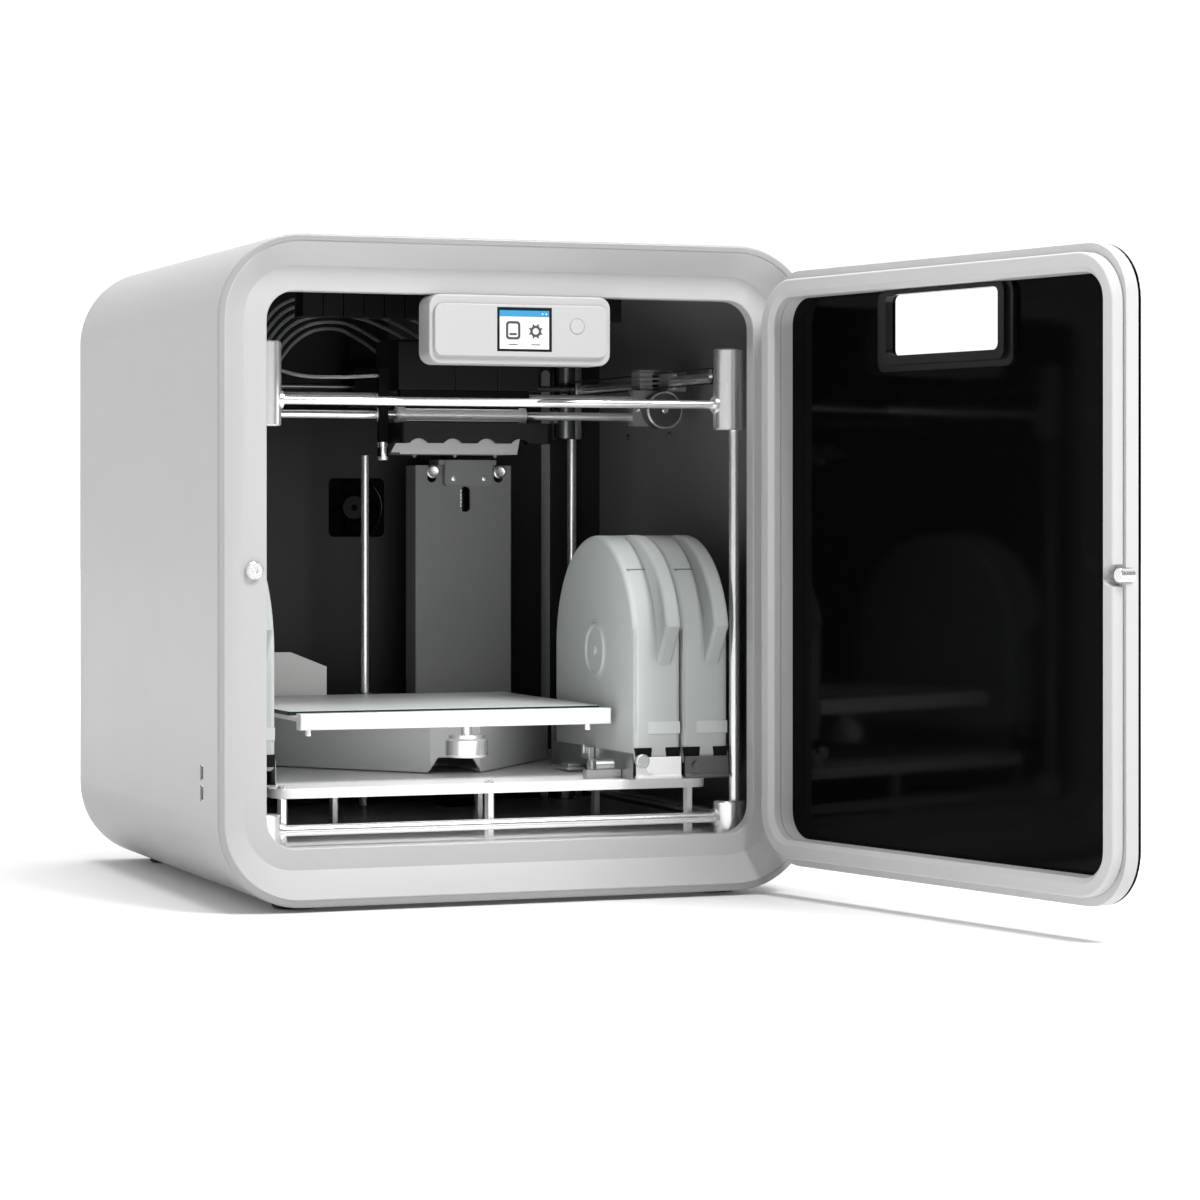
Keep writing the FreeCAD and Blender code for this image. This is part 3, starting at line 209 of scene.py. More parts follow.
def two_part_metal(name, tubes, bright, dark):
    """Bright within a radius of each tube axis, given as (y, z, radius), and dark paint elsewhere."""
    material, tree, shader = principled(name)
    coords = tree.nodes.new("ShaderNodeTexCoord")
    flat = tree.nodes.new("ShaderNodeVectorMath")
    flat.operation = "MULTIPLY"
    flat.inputs[1].default_value = (0, 1, 1)
    tree.links.new(coords.outputs["Object"], flat.inputs[0])
    mask = None
    for y, z, radius in tubes:
        gap = tree.nodes.new("ShaderNodeVectorMath")
        gap.operation = "DISTANCE"
        gap.inputs[1].default_value = (0, y, z)
        tree.links.new(flat.outputs["Vector"], gap.inputs[0])
        inside = tree.nodes.new("ShaderNodeMath")
        inside.operation = "LESS_THAN"
        inside.inputs[1].default_value = radius
        tree.links.new(gap.outputs["Value"], inside.inputs[0])
        if mask is None:
            mask = inside.outputs["Value"]
            continue
        either = tree.nodes.new("ShaderNodeMath")
        either.operation = "MAXIMUM"
        tree.links.new(mask, either.inputs[0])
        tree.links.new(inside.outputs["Value"], either.inputs[1])
        mask = either.outputs["Value"]
    tree.links.new(tint(tree, mask, dark, bright), shader.inputs["Base Color"])
    tree.links.new(ramp(tree, mask, 0.0, 0.25), shader.inputs["Metallic"])
    tree.links.new(ramp(tree, mask, 0.55, 0.34), shader.inputs["Roughness"])
    tree.links.new(ramp(tree, mask, 0.06, 0.5), shader.inputs["Specular IOR Level"])
    bump(tree, shader, noise(tree, 300.0), 0.05, 0.00005)
    return material


def glowing(name, color, strength):
    """A lit patch of the screen."""
    material, tree, shader = principled(name)
    grain = noise(tree, 400.0)
    shade = tint(tree, grain, tuple(c * 0.98 for c in color), color)
    tree.links.new(shade, shader.inputs["Base Color"])
    tree.links.new(shade, shader.inputs["Emission Color"])
    shader.inputs["Emission Strength"].default_value = strength
    shader.inputs["Roughness"].default_value = 0.2
    return material


MATERIALS = {
    "shell": moulded("shell_paint", (0.35, 0.35, 0.353), 0.38, coat=0.1),
    "bezel": moulded("bezel_plastic", (0.52, 0.52, 0.52), 0.40, coat=0.05),
    "door_white": moulded("door_plastic", (0.54, 0.54, 0.54), 0.42),
    "panel_white": moulded("panel_plastic", (0.53, 0.53, 0.53), 0.42),
    "cover_grey": moulded("rear_cover_paint", (0.45, 0.46, 0.47), 0.5),
    "liner": moulded("liner_plastic", (0.16, 0.161, 0.165), 0.34, grain=300, relief=0.08, specular=0.3),
    "back": moulded("back_plastic", (0.016, 0.016, 0.017), 0.38, grain=300, relief=0.08, specular=0.2),
    "black_glass": moulded("black_glass", (0.0015, 0.0015, 0.0017), 0.07, relief=0.0, specular=0.045,
                           spread=0.0),
    "black": moulded("black_plastic", (0.0035, 0.0035, 0.004), 0.42, specular=0.14),
    "black_gloss": moulded("black_rim_plastic", (0.005, 0.005, 0.005), 0.25, relief=0.04, specular=0.3),
    "sheet_white": moulded("white_sheet_metal", (0.90, 0.90, 0.90), 0.35, coat=0.15),
    "column": moulded("column_paint", (0.225, 0.228, 0.228), 0.45, specular=0.35),
    "support": moulded("support_paint", (0.84, 0.845, 0.845), 0.42),
    "block": moulded("block_paint", (0.17, 0.17, 0.175), 0.4),
    "motor": moulded("motor_can", (0.055, 0.055, 0.057), 0.35, specular=0.3),
    "rod": metal("polished_rod", (0.88, 0.885, 0.89), 0.25, scale=20, relief=0.0, spread=0.01,
                 metallic=0.8, uneven=0.02),
    "fitting": metal("turned_fitting", (0.95, 0.95, 0.96), 0.27, scale=60, relief=0.0, spread=0.02,
                     metallic=0.85, uneven=0.03),
    "steel": metal("brushed_sheet_steel", (0.70, 0.71, 0.72), 0.3, (1, 0.05, 1), 500),
    "tray_steel": metal("tray_sheet_steel", (0.46, 0.465, 0.47), 0.36, (1, 0.05, 1), 500),
    "dark_steel": metal("dark_sheet_steel", (0.22, 0.22, 0.225), 0.32, (0.05, 1, 1), 500),
    "screw": metal("lead_screw_steel", (0.85, 0.86, 0.87), 0.30),
    "nut": metal("nut_steel", (0.30, 0.31, 0.32), 0.22),
    "shield": metal("matt_sheet_steel", (0.25, 0.253, 0.255), 0.5, (0.05, 1, 1), 500),
    "bracket": moulded("bracket_paint", (0.24, 0.245, 0.245), 0.40),
    "rubber": moulded("rubber", (0.02, 0.02, 0.02), 0.8, grain=1500, relief=0.3),
    "belt": moulded("belt_rubber", (0.012, 0.012, 0.012), 0.7, grain=1800, relief=0.4),
    "glass": moulded("bed_sheet_glass", (0.74, 0.76, 0.755), 0.42, relief=0.03, specular=0.3),
    "cartridge": moulded("cartridge_plastic", (0.45, 0.475, 0.468), 0.55, specular=0.3),
    "window": moulded("label_window", (0.56, 0.585, 0.578), 0.3, relief=0.0, specular=0.3),
    "seam": moulded("seam_shadow", (0.20, 0.22, 0.215), 0.6, specular=0.1),
    "board": moulded("circuit_board", (0.015, 0.11, 0.05), 0.4, grain=200, relief=0.4),
    "bin": moulded("bin_plastic", (0.93, 0.93, 0.91), 0.55),
    "tube": clear_plastic("clear_tube", (0.80, 0.82, 0.83), 0.22, 0.80),
    "screen": moulded("screen_glass", (0.02, 0.02, 0.022), 0.08, relief=0.0, coat=0.6),
    "screen_white": glowing("screen_white", (0.70, 0.72, 0.73), 0.22),
    "screen_blue": glowing("screen_blue", (0.05, 0.29, 0.53), 0.15),
    "screen_grey": moulded("screen_grey", (0.07, 0.07, 0.075), 0.3, relief=0.0),
    "black_and_painted_shade": moulded("black_fan_plastic_and_painted_shade", (0.004, 0.004, 0.004), 0.95, grain=700, relief=0.6, specular=0.05),
    "head_frame": two_part_metal("head_frame_metal", [(-0.035, 0.447, 0.0084), (-0.035, 0.464, 0.0058)],
                                 (0.99, 0.99, 1.0), (0.003, 0.003, 0.003)),
    "glass_edge": moulded("glass_edge", (0.008, 0.028, 0.018), 0.25, relief=0.02, specular=0.3),
}

NODE_LOOKS = {
    "outer_shell": "shell", "front_bezel": "bezel", "rear_cover": "cover_grey",
    "chamber_liner": "liner", "back_wall": "back", "base_pan": "sheet_white",
    "base_cover": "cover_grey", "feet": "rubber", "usb_ports": "steel",
    "panel_housing": "panel_white", "panel_fascia": "panel_white", "display": "screen",
    "power_button": "panel_white", "door_glass": "black_glass", "door_outer_ring": "door_white",
    "door_inner_ring": "door_white", "door_rim": "black_gloss", "door_hardware": "rod",
    "hinge_pins": "steel", "door_strike": "rod", "corner_fittings": "fitting", "frame_rods": "rod",
    "y_belts": "belt", "y_drive_shaft": "dark_steel", "y_idlers": "fitting",
    "stepper_motors": "black", "gantry_blocks": "block", "x_rods": "rod", "x_motor": "motor",
    "x_belt": "belt", "x_drive_pulley": "fitting", "x_idler": "fitting", "head_frame": "head_frame",
    "extruder_covers": "black", "fan_duct": "black", "nozzles": "shield", "drag_chain": "black",
    "filament_tubes": "tube", "z_column": "column", "z_bracket": "bracket", "lead_screw": "screw",
    "floor_plate": "sheet_white", "floor_standoffs": "fitting", "bed_glass": "glass",
    "bed_tray": "sheet_white", "bed_support": "support", "z_nut": "nut", "level_knob": "fitting",
    "cartridge_left": "cartridge", "cartridge_middle": "cartridge", "cartridge_right": "cartridge",
    "cartridge_trays": "tray_steel", "latch_middle": "sheet_white", "latch_right": "dark_steel",
    "purge_bin": "bin", "mains_inlet": "black", "power_switch": "black", "power_supply": "steel",
    "mainboard": "board", "fan_rotor": "black",
}


def dress_cad_nodes():
    for name, look in NODE_LOOKS.items():
        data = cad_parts[name].data
        data.materials.clear()
        data.materials.append(MATERIALS[look])


# ---------------------------------------------------------------- mesh building

def add_prism(bm, outline, y_front, y_back):
    """A plate whose outline is a list of (x, z), from one depth to another."""
    front = [bm.verts.new((x, y_front, z)) for x, z in outline]
    back = [bm.verts.new((x, y_back, z)) for x, z in outline]
    count = len(outline)
    bm.faces.new(front)
    bm.faces.new(back[::-1])
    for i in range(count):
        j = (i + 1) % count
        bm.faces.new((front[i], back[i], back[j], front[j]))


def add_ring(bm, outer, inner, y_front, y_back):
    """A flat ring between two outlines with the same number of points."""
    count = len(outer)
    loops = [[bm.verts.new((x, y, z)) for x, z in outline]
             for outline, y in ((outer, y_front), (outer, y_back), (inner, y_back), (inner, y_front))]
    for a, b in zip(loops, loops[1:] + loops[:1]):
        for i in range(count):
            j = (i + 1) % count
            bm.faces.new((a[i], b[i], b[j], a[j]))


def add_box(bm, low, high):
    (x0, y0, z0), (x1, y1, z1) = low, high
    add_prism(bm, [(x0, z0), (x1, z0), (x1, z1), (x0, z1)], y0, y1)


def frame_along(direction):
    """A rotation whose Z axis runs along a direction."""
    return Vector(direction).to_track_quat("Z", "X").to_matrix()


def add_turned(bm, profile, base, direction, steps=32):
    """A turned solid: profile is a list of (radius, height); a radius of 0 closes an end."""
    turn = frame_along(direction)
    rings = []
    for r, h in profile:
        if r == 0:
            rings.append([bm.verts.new(Vector(base) + turn @ Vector((0, 0, h)))])
            continue
        angles = [2 * math.pi * i / steps for i in range(steps)]
        rings.append([bm.verts.new(Vector(base) + turn @ Vector((r * math.cos(a), r * math.sin(a), h)))
                      for a in angles])
    for low, high in zip(rings, rings[1:]):
        for i in range(steps):
            j = (i + 1) % steps
            corners = [low[i % len(low)], low[j % len(low)], high[j % len(high)], high[i % len(high)]]
            bm.faces.new(list(dict.fromkeys(corners)))


def smooth_path(points):
    """Catmull-Rom points through a given route, eight to a span."""
    per_span = 8
    pts = [Vector(p) for p in points]
    pts = [2 * pts[0] - pts[1]] + pts + [2 * pts[-1] - pts[-2]]
    path = []
    for a, b, c, d in zip(pts, pts[1:], pts[2:], pts[3:]):
        for i in range(per_span):
            t = i / per_span
            path.append(0.5 * (2 * b + (c - a) * t + (2 * a - 5 * b + 4 * c - d) * t ** 2
                               + (3 * b - a - 3 * c + d) * t ** 3))
    return path + [pts[-2]]


def add_tube(bm, path, radius):
    """A round solid along a path, capped at both ends."""
    steps = 12
    rings = []
    turn = frame_along(path[1] - path[0])
    for i, point in enumerate(path):
        ahead = path[min(i + 1, len(path) - 1)] - path[max(i - 1, 0)]
        swing = (turn @ Vector((0, 0, 1))).rotation_difference(ahead)
        turn = swing.to_matrix() @ turn
        rings.append([bm.verts.new(point + turn @ Vector((radius * math.cos(a), radius * math.sin(a), 0)))
                      for a in (2 * math.pi * k / steps for k in range(steps))])
    for low, high in zip(rings, rings[1:]):
        for i in range(steps):
            j = (i + 1) % steps
            bm.faces.new((low[i], low[j], high[j], high[i]))
    bm.faces.new(rings[0][::-1])
    bm.faces.new(rings[-1])


def rounded(cx, cz, w, h, r):
    """The outline of a rounded rectangle, as (x, z) points."""
    steps = 6
    points = []
    for i, (sx, sz) in enumerate(((1, 1), (-1, 1), (-1, -1), (1, -1))):
        for k in range(steps + 1):
            a = math.pi / 2 * (i + k / steps)
            points.append((cx + sx * (w / 2 - r) + r * math.cos(a),
                           cz + sz * (h / 2 - r) + r * math.sin(a)))
    return points


def circle(cx, cz, r, steps=40):
    return [(cx + r * math.cos(2 * math.pi * i / steps), cz + r * math.sin(2 * math.pi * i / steps))
            for i in range(steps)]


def make_piece(name, bm, look, body, bevel=0.0, smooth=True):
    """Turns a finished bmesh into a piece of the object. It moves with a body, unless body is None."""
    bmesh.ops.recalc_face_normals(bm, faces=bm.faces)
    mesh = bpy.data.meshes.new(name)
    bm.to_mesh(mesh)
    bm.free()
    mesh.materials.append(MATERIALS[look])
    obj = bpy.data.objects.new(name, mesh)
    bpy.context.scene.collection.objects.link(obj)
    if bevel:
        cut = obj.modifiers.new("bevel", "BEVEL")
        cut.width = bevel
        cut.segments = 2
        cut.limit_method = "ANGLE"
        cut.harden_normals = False
    if smooth:
        mesh.shade_smooth()
        mesh.set_sharp_from_angle(angle=SHARP_ANGLE)
    if body:
        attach(obj, body)
    return obj


# ---------------------------------------------------------------- control panel

def panel_icons():
    """The lit screen: a blue bar over a white field with a tray icon and a gear icon."""
    low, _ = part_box("display")
    width, left = 0.0524, -0.0239
    bottom, top = 0.49845, 0.53825
    y = low.y
    field_y, icon_y = y - 0.00008, y - 0.00016
    cx, cz = left + width / 2, (bottom + top) / 2
    margin = 0.0025
    field = bmesh.new()
    field_w, field_h = width - 2 * margin, top - bottom - 2 * margin
    add_prism(field, rounded(cx, cz - 0.0003, field_w, field_h, 0.0004), field_y, y)
    make_piece("screen_field", field, "screen_white", "cabinet")
    bar_h = 0.0056
    bar = bmesh.new()
    bar_z = top - margin - bar_h / 2 - 0.0003
    add_prism(bar, rounded(cx, bar_z, field_w, bar_h, 0.0003), y - 0.00014, field_y)
    make_piece("screen_bar", bar, "screen_blue", "cabinet")
    marks = bmesh.new()
    for offset in (0.0088, 0.0052):
        add_prism(marks, circle(left + width - offset, bar_z, 0.0007, 12), y - 0.0002, y - 0.00014)
    make_piece("screen_marks", marks, "screen_white", "cabinet")
    icons = bmesh.new()
    tray_x, gear_x, icon_z = left + 0.0153, left + 0.0370, bottom + 0.0190
    gear_z = icon_z - 0.0006
    add_ring(icons, rounded(tray_x, icon_z, 0.0138, 0.0166, 0.0034),
             rounded(tray_x, icon_z, 0.0094, 0.0122, 0.0014), icon_y, field_y)
    add_prism(icons, rounded(tray_x, icon_z - 0.0034, 0.0070, 0.0020, 0.0004), icon_y, field_y)
    add_ring(icons, gear_outline(gear_x, gear_z, 0.0052, 0.0070, 8), circle(gear_x, gear_z, 0.0029, 64),
             icon_y, field_y)
    for x in (tray_x, gear_x):
        add_prism(icons, rounded(x, bottom + 0.0062, 0.0086, 0.0008, 0.0003), icon_y, field_y)
    make_piece("screen_icons", icons, "screen_grey", "cabinet")


def gear_outline(cx, cz, r_root, r_tip, teeth):
    """A toothed ring: eight points to a tooth."""
    points = []
    for i in range(teeth):
        for k, r in enumerate((r_root, r_root, r_root, r_tip, r_tip, r_tip, r_root, r_root)):
            a = 2 * math.pi * (i + (k + (0.35 if k == 3 else -0.35 if k == 5 else 0)) / 8) / teeth
            points.append((cx + r * math.cos(a), cz + r * math.sin(a)))
    return points


# ---------------------------------------------------------------- working parts

def threaded_screw():
    """The lead screw with its two-start thread, standing for the plain CAD rod."""
    low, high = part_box("lead_screw")
    axis = ((low.x + high.x) / 2, (low.y + high.y) / 2)
    root, crest, lead, steps = 0.0033, 0.0040, 0.008, 24
    collar_top, top = 0.108, high.z
    count = int((top - collar_top) / (lead / 16))
    bm = bmesh.new()
    rings = []
    for k in range(count + 1):
        z = collar_top + (top - collar_top) * k / count
        ring = []
        for i in range(steps):
            turn = i / steps
            phase = (2 * (z / lead - turn)) % 1.0
            r = root + (crest - root) * min(1.0, max(0.0, 2.0 - 5.0 * abs(phase - 0.5)))
            a = 2 * math.pi * turn
            ring.append(bm.verts.new((axis[0] + r * math.cos(a), axis[1] + r * math.sin(a), z)))
        rings.append(ring)
    for a, b in zip(rings, rings[1:]):
        for i in range(steps):
            j = (i + 1) % steps
            bm.faces.new((a[i], a[j], b[j], b[i]))
    bm.faces.new(rings[0][::-1])
    bm.faces.new(rings[-1])
    add_turned(bm, [(0, low.z), (0.0039, low.z), (0.0039, 0.096), (0.0075, 0.0962), (0.0075, 0.1078),
                    (0, 0.1078)], (*axis, 0), (0, 0, 1))
    piece = make_piece("screw_thread", bm, "screw", "lead_screw", smooth=False)
    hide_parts("lead_screw")


def feed_tubes():
    """The clear filament tubes, each cut into a front length and a rear length; neither moves with a body.
    """
    _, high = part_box("extruder_covers")
    start_y, start_z = high.y - 0.0038, 0.504
    feeds = [middle + side * 0.008 for middle in (-0.02585, 0.02405, 0.06640) for side in (-1, 1)]
    routes = []
    for i, x in enumerate(feeds):
        step = i * 0.001
        routes.append([(x, start_y, start_z), (x, 0.022, 0.5062 + 0.5 * step),
                       (x, 0.050 + 4 * step, 0.5075 + step),
                       (0.7 * x - 0.012, 0.110 + 3 * step, 0.524 + 5 * step),
                       (0.35 * x - 0.038, 0.149 + 2 * step, 0.538 + 6.4 * step),
                       (-0.076 - 2 * step, 0.165, 0.534 + 7 * step),
                       (-0.102 - 3.6 * step, 0.169, 0.509 + 7 * step),
                       (-0.124 - 4.6 * step, 0.172, 0.462 + 5 * step),
                       (-0.128 - 5 * step, 0.173, TUBE_GUIDE_TOP + 0.001)])
    low_route = [(-0.0664, -0.0425, 0.484), (-0.105, -0.042, 0.482), (-0.146, -0.037, 0.484),
                 (-0.1835, -0.012, 0.500), (-0.190, 0.043, 0.516), (-0.184, 0.105, 0.516),
                 (-0.172, 0.157, 0.490), (-0.164, 0.173, 0.446), (-0.162, 0.173, TUBE_GUIDE_TOP + 0.001)]
    lengths = {"feed_tubes_front": [], "feed_tubes_rear": [], "low_tube_front": [], "low_tube_rear": []}
    for route in routes:
        path = smooth_path(route)
        cut = next(i for i, point in enumerate(path) if point.y > 0.045)
        lengths["feed_tubes_front"].append(path[:cut + 1])
        lengths["feed_tubes_rear"].append(path[cut:])
    path = smooth_path(low_route)
    cut = next(i for i, point in enumerate(path) if point.x < -0.182)
    lengths["low_tube_front"].append(path[:cut + 1])
    lengths["low_tube_rear"].append(path[cut:])
    for name, paths in lengths.items():
        bm = bmesh.new()
        for path in paths:
            add_tube(bm, path, TUBE_RADIUS)
        tubes = make_piece(name, bm, "tube", None)
        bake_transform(tubes)
        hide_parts("filament_tubes")


def add_screw_head(bm, place, direction, r=0.0028):
    """A socket-headed screw seen end on, its socket sunk in."""
    add_turned(bm, [(0, 0), (r, 0), (r, r * 0.55), (r * 0.82, r * 0.75), (r * 0.5, r * 0.75),
                    (r * 0.42, r * 0.2), (0, r * 0.2)], place, direction, 18)


def visible_screws():
    """Small screws on the covers, the gantry's blocks and the chamber walls."""
    cabinet = bmesh.new()
    _, liner_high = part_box("chamber_liner")
    wall_x = liner_high.x - 0.002
    for y, z in ((0.045, 0.432), (0.160, 0.432), (0.205, 0.300), (-0.105, 0.310), (-0.190, 0.150)):
        add_screw_head(cabinet, (wall_x, y, z), (-1, 0, 0))
        add_screw_head(cabinet, (-wall_x, y, z), (1, 0, 0))
    _, cover_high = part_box("rear_cover")
    for x in (-0.235, 0, 0.235):
        for z in (0.035, 0.565):
            add_screw_head(cabinet, (x, cover_high.y, z), (0, 1, 0), 0.0036)
    base_low, base_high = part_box("base_cover")
    for x in (base_low.x + 0.012, base_high.x - 0.012):
        for y in (base_low.y + 0.012, base_high.y - 0.012):
            add_screw_head(cabinet, (x, y, base_low.z), (0, 0, -1), 0.0032)
    make_piece("cabinet_screws", cabinet, "dark_steel", "cabinet")
    gantry = bmesh.new()
    for side in (-1, 1):
        for x, z in ((0.2010, 0.4535), (0.2340, 0.4880), (0.2340, 0.4760)):
            y = -0.042 if z < 0.46 else -0.057
            add_screw_head(gantry, (side * x, y, z), (0, -1, 0), 0.0022)
    make_piece("gantry_screws", gantry, "fitting", "gantry")


def clamp_ribs():
    """Ribs over the belt clamps on the gantry's end blocks."""
    bm = bmesh.new()
    for side in (-1, 1):
        x0, x1 = sorted((side * 0.2044, side * 0.2286))
        for i in range(4):
            z = 0.4745 + 0.0048 * i
            add_box(bm, (x0, -0.0382, z), (x1, -0.0146, z + 0.0022))
    make_piece("clamp_ribs", bm, "block", "gantry", bevel=0.0004)


def motor_rim_highlight():
    """The rolled edge of the round drive motor in bright polished metal, a painted highlight on the dark
    can's bevel, and its centre cap.
    """
    low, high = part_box("x_motor")
    x, z = (low.x + high.x) / 2, (low.z + high.z) / 2
    r = (high.x - low.x) / 2
    # painted highlight: the rim's bright metal stands for the light caught on the can's bevel
    bm = bmesh.new()
    add_turned(bm, [(r - 0.0016, -0.0002), (r - 0.0006, -0.0002), (r + 0.0003, 0.0008),
                    (r + 0.0003, 0.0024), (r - 0.0003, 0.0024), (r - 0.0016, 0.0010),
                    (r - 0.0016, -0.0002)], (x, low.y, z), (0, 1, 0), 64)
    make_piece("motor_rim_highlight", bm, "rod", "gantry")
    cap = bmesh.new()
    add_turned(cap, [(0, -0.0011), (0.0026, -0.0011), (0.0034, -0.0003), (0.0034, 0.0002), (0, 0.0002)],
               (x, low.y, z), (0, 1, 0), 24)
    make_piece("motor_cap", cap, "fitting", "gantry")


def vent_filters():
    """Black sheets behind the fan's grille and the vents, which are painted shade keeping the view through
    the back wall dark, and the fan's frame and cap.
    """
    _, cover_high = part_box("rear_cover")
    y0, y1 = cover_high.y - 0.0064, cover_high.y - 0.0054
    rotor_low, rotor_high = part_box("fan_rotor")
    x, z = (rotor_low.x + rotor_high.x) / 2, (rotor_low.z + rotor_high.z) / 2
    bm = bmesh.new()
    # painted shade: black sheets behind the fan's grille and the vents keep the view through the back wall
    # dark where the cabinet is only in shade
    add_ring(bm, circle(x, z, 0.0335), circle(x, z, 0.0026), y0, y1)
    add_prism(bm, rounded(0.130, 0.226, 0.150, 0.200, 0.004), y0, y1)
    make_piece("painted_shade_sheets", bm, "black_and_painted_shade", "cabinet", smooth=False)
    # the fan's frame, made near-black matte partly as painted shade over the corners around the rotor
    shroud = bmesh.new()
    turns = [math.radians(45 + 360 * i / 64) for i in range(64)]
    half, hole_r, corner = 0.0345, 0.0312, math.sqrt(2)
    square = [(x + half * max(-1, min(1, corner * math.cos(a))),
               z + half * max(-1, min(1, corner * math.sin(a)))) for a in turns]
    hole = [(x + hole_r * math.cos(a), z + hole_r * math.sin(a)) for a in turns]
    add_ring(shroud, square, hole, rotor_low.y - 0.0010, rotor_low.y + 0.0030)
    make_piece("fan_shroud", shroud, "black_and_painted_shade", "cabinet", smooth=False)
    cap = bmesh.new()
    add_turned(cap, [(0, -0.0006), (0.0030, -0.0006), (0.0036, 0.0002), (0, 0.0002)],
               (x, rotor_low.y, z), (0, 1, 0), 24)
    make_piece("fan_cap", cap, "black_and_painted_shade", "fan_rotor")


def bed_edge():
    """The green edge of the glass sheet on the bed."""
    low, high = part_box("bed_glass")
    cx, cy = (low.x + high.x) / 2, (low.y + high.y) / 2
    w, d = high.x - low.x, high.y - low.y
    bm = bmesh.new()
    outer = rounded(cx, cy, w + 0.0003, d + 0.0003, 0.0031)
    inner = rounded(cx, cy, w - 0.0003, d - 0.0003, 0.0029)
    loops = [[bm.verts.new((x, y, z)) for x, y in outline]
             for outline, z in ((outer, low.z + 0.0002), (outer, high.z - 0.0003),
                                (inner, high.z - 0.0003), (inner, low.z + 0.0002))]
    count = len(outer)
    for a, b in zip(loops, loops[1:] + loops[:1]):
        for i in range(count):
            j = (i + 1) % count
            bm.faces.new((a[i], a[j], b[j], b[i]))
    make_piece("bed_glass_edge", bm, "glass_edge", "bed")


def hexagonal_standoffs():
    """Six-sided pillars between base pan and floor plate, and the screw heads above the front ones."""
    _, pan_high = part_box("base_pan")
    plate_low, plate_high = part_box("floor_plate")
    across = 0.0047
    places = [(-0.203, -0.191), (-0.005, -0.191), (0.193, -0.191), (-0.102, -0.015), (0.045, -0.015),
              (0.167, -0.015), (-0.203, 0.205), (-0.005, 0.205), (0.193, 0.205)]
    bm = bmesh.new()
    for x, y in places:
        add_turned(bm, [(0, pan_high.z), (across - 0.0005, pan_high.z), (across, pan_high.z + 0.0006),
                        (across, plate_low.z - 0.0006), (across - 0.0005, plate_low.z), (0, plate_low.z)],
                   (x, y, 0), (0, 0, 1), 6)
    for x, y in places[:3]:
        add_turned(bm, [(0, 0), (0.0046, 0), (0.0044, 0.0012), (0.0030, 0.0024), (0.0020, 0.0026),
                        (0.0017, 0.0014), (0, 0.0014)], (x, y, plate_high.z), (0, 0, 1), 24)
    piece = make_piece("hex_standoffs", bm, "fitting", "cabinet", smooth=False)
    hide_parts("floor_standoffs")


def height_sensor():
    """The metal sensor tip at the foot of the bracket beside the nozzles."""
    low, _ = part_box("head_frame")
    bm = bmesh.new()
    add_turned(bm, [(0, 0), (0.0042, 0), (0.0052, 0.0008), (0.0052, 0.0036), (0.0044, 0.0042),
                    (0.0044, 0.0118), (0.0052, 0.0124), (0.0052, 0.0172), (0, 0.0172)],
               (-0.0615, -0.0425, low.z - 0.0004), (0, 0, 1), 28)
    make_piece("height_sensor", bm, "fitting", "head")


def fitting_sleeves():
    """Turned sleeves over the corner fittings: bright ones in front, and dark ones behind, their darkness
    painted shade for the dark chamber they reflect.
    """
    r = 0.0133
    # painted shade: the rear sleeves take the dark nut steel in place of the bright fitting metal, standing
    # for the dark chamber they reflect
    for name, y, look in (("front", FRONT_POST_Y, "fitting"), ("rear", REAR_POST_Y, "nut")):
        bm = bmesh.new()
        for side in (-1, 1):
            for low, high in ((0.4304, 0.5066), (0.0519, 0.0821)):
                add_turned(bm, [(0, low), (r - 0.0012, low), (r, low + 0.0012), (r, high - 0.0012),
                                (r - 0.0012, high), (0, high)], (side * POST_X, y, 0), (0, 0, 1), 48)
        make_piece(f"fitting_sleeves_{name}", bm, look, "cabinet")


def bracket_screws():
    """Bright screws on the bracket at the column's top: two large knurled ones and two small ones."""
    low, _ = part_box("z_bracket")
    bm = bmesh.new()
    for x in (0.056, 0.128):
        add_turned(bm, [(0, 0.0100), (0.0030, 0.0096), (0.0052, 0.0102), (0.0066, 0.0094), (0.0067, 0.0050),
                        (0.0046, 0.0048), (0.0046, 0), (0, 0)], (x, 0.170, 0.395), (0, -1, 0), 24)
    for x in (0.076, 0.109):
        add_turned(bm, [(0, 0.0022), (0.0026, 0.0018), (0.0032, 0.0008), (0.0032, -0.0006), (0, -0.0006)],
                   (x, low.y + 0.0016, 0.388), (0, -1, 0), 20)
    make_piece("bracket_screws", bm, "fitting", "cabinet")


def hub_disc(bm, x, y, z):
    """The round hub on a cartridge's left side: a raised ring, a shallow dish and a small boss."""
    add_turned(bm, [(0, 0.0024), (0.0036, 0.0022), (0.0056, 0.0006), (0.0170, 0.0004), (0.0205, 0.0004),
                    (0.0218, 0.0020), (0.0240, 0.0025), (0.0258, 0.0020), (0.0270, 0.0003), (0.0290, 0.0003),
                    (0.0300, -0.0004), (0, -0.0004)], (x, y, z), (-1, 0, 0), 64)


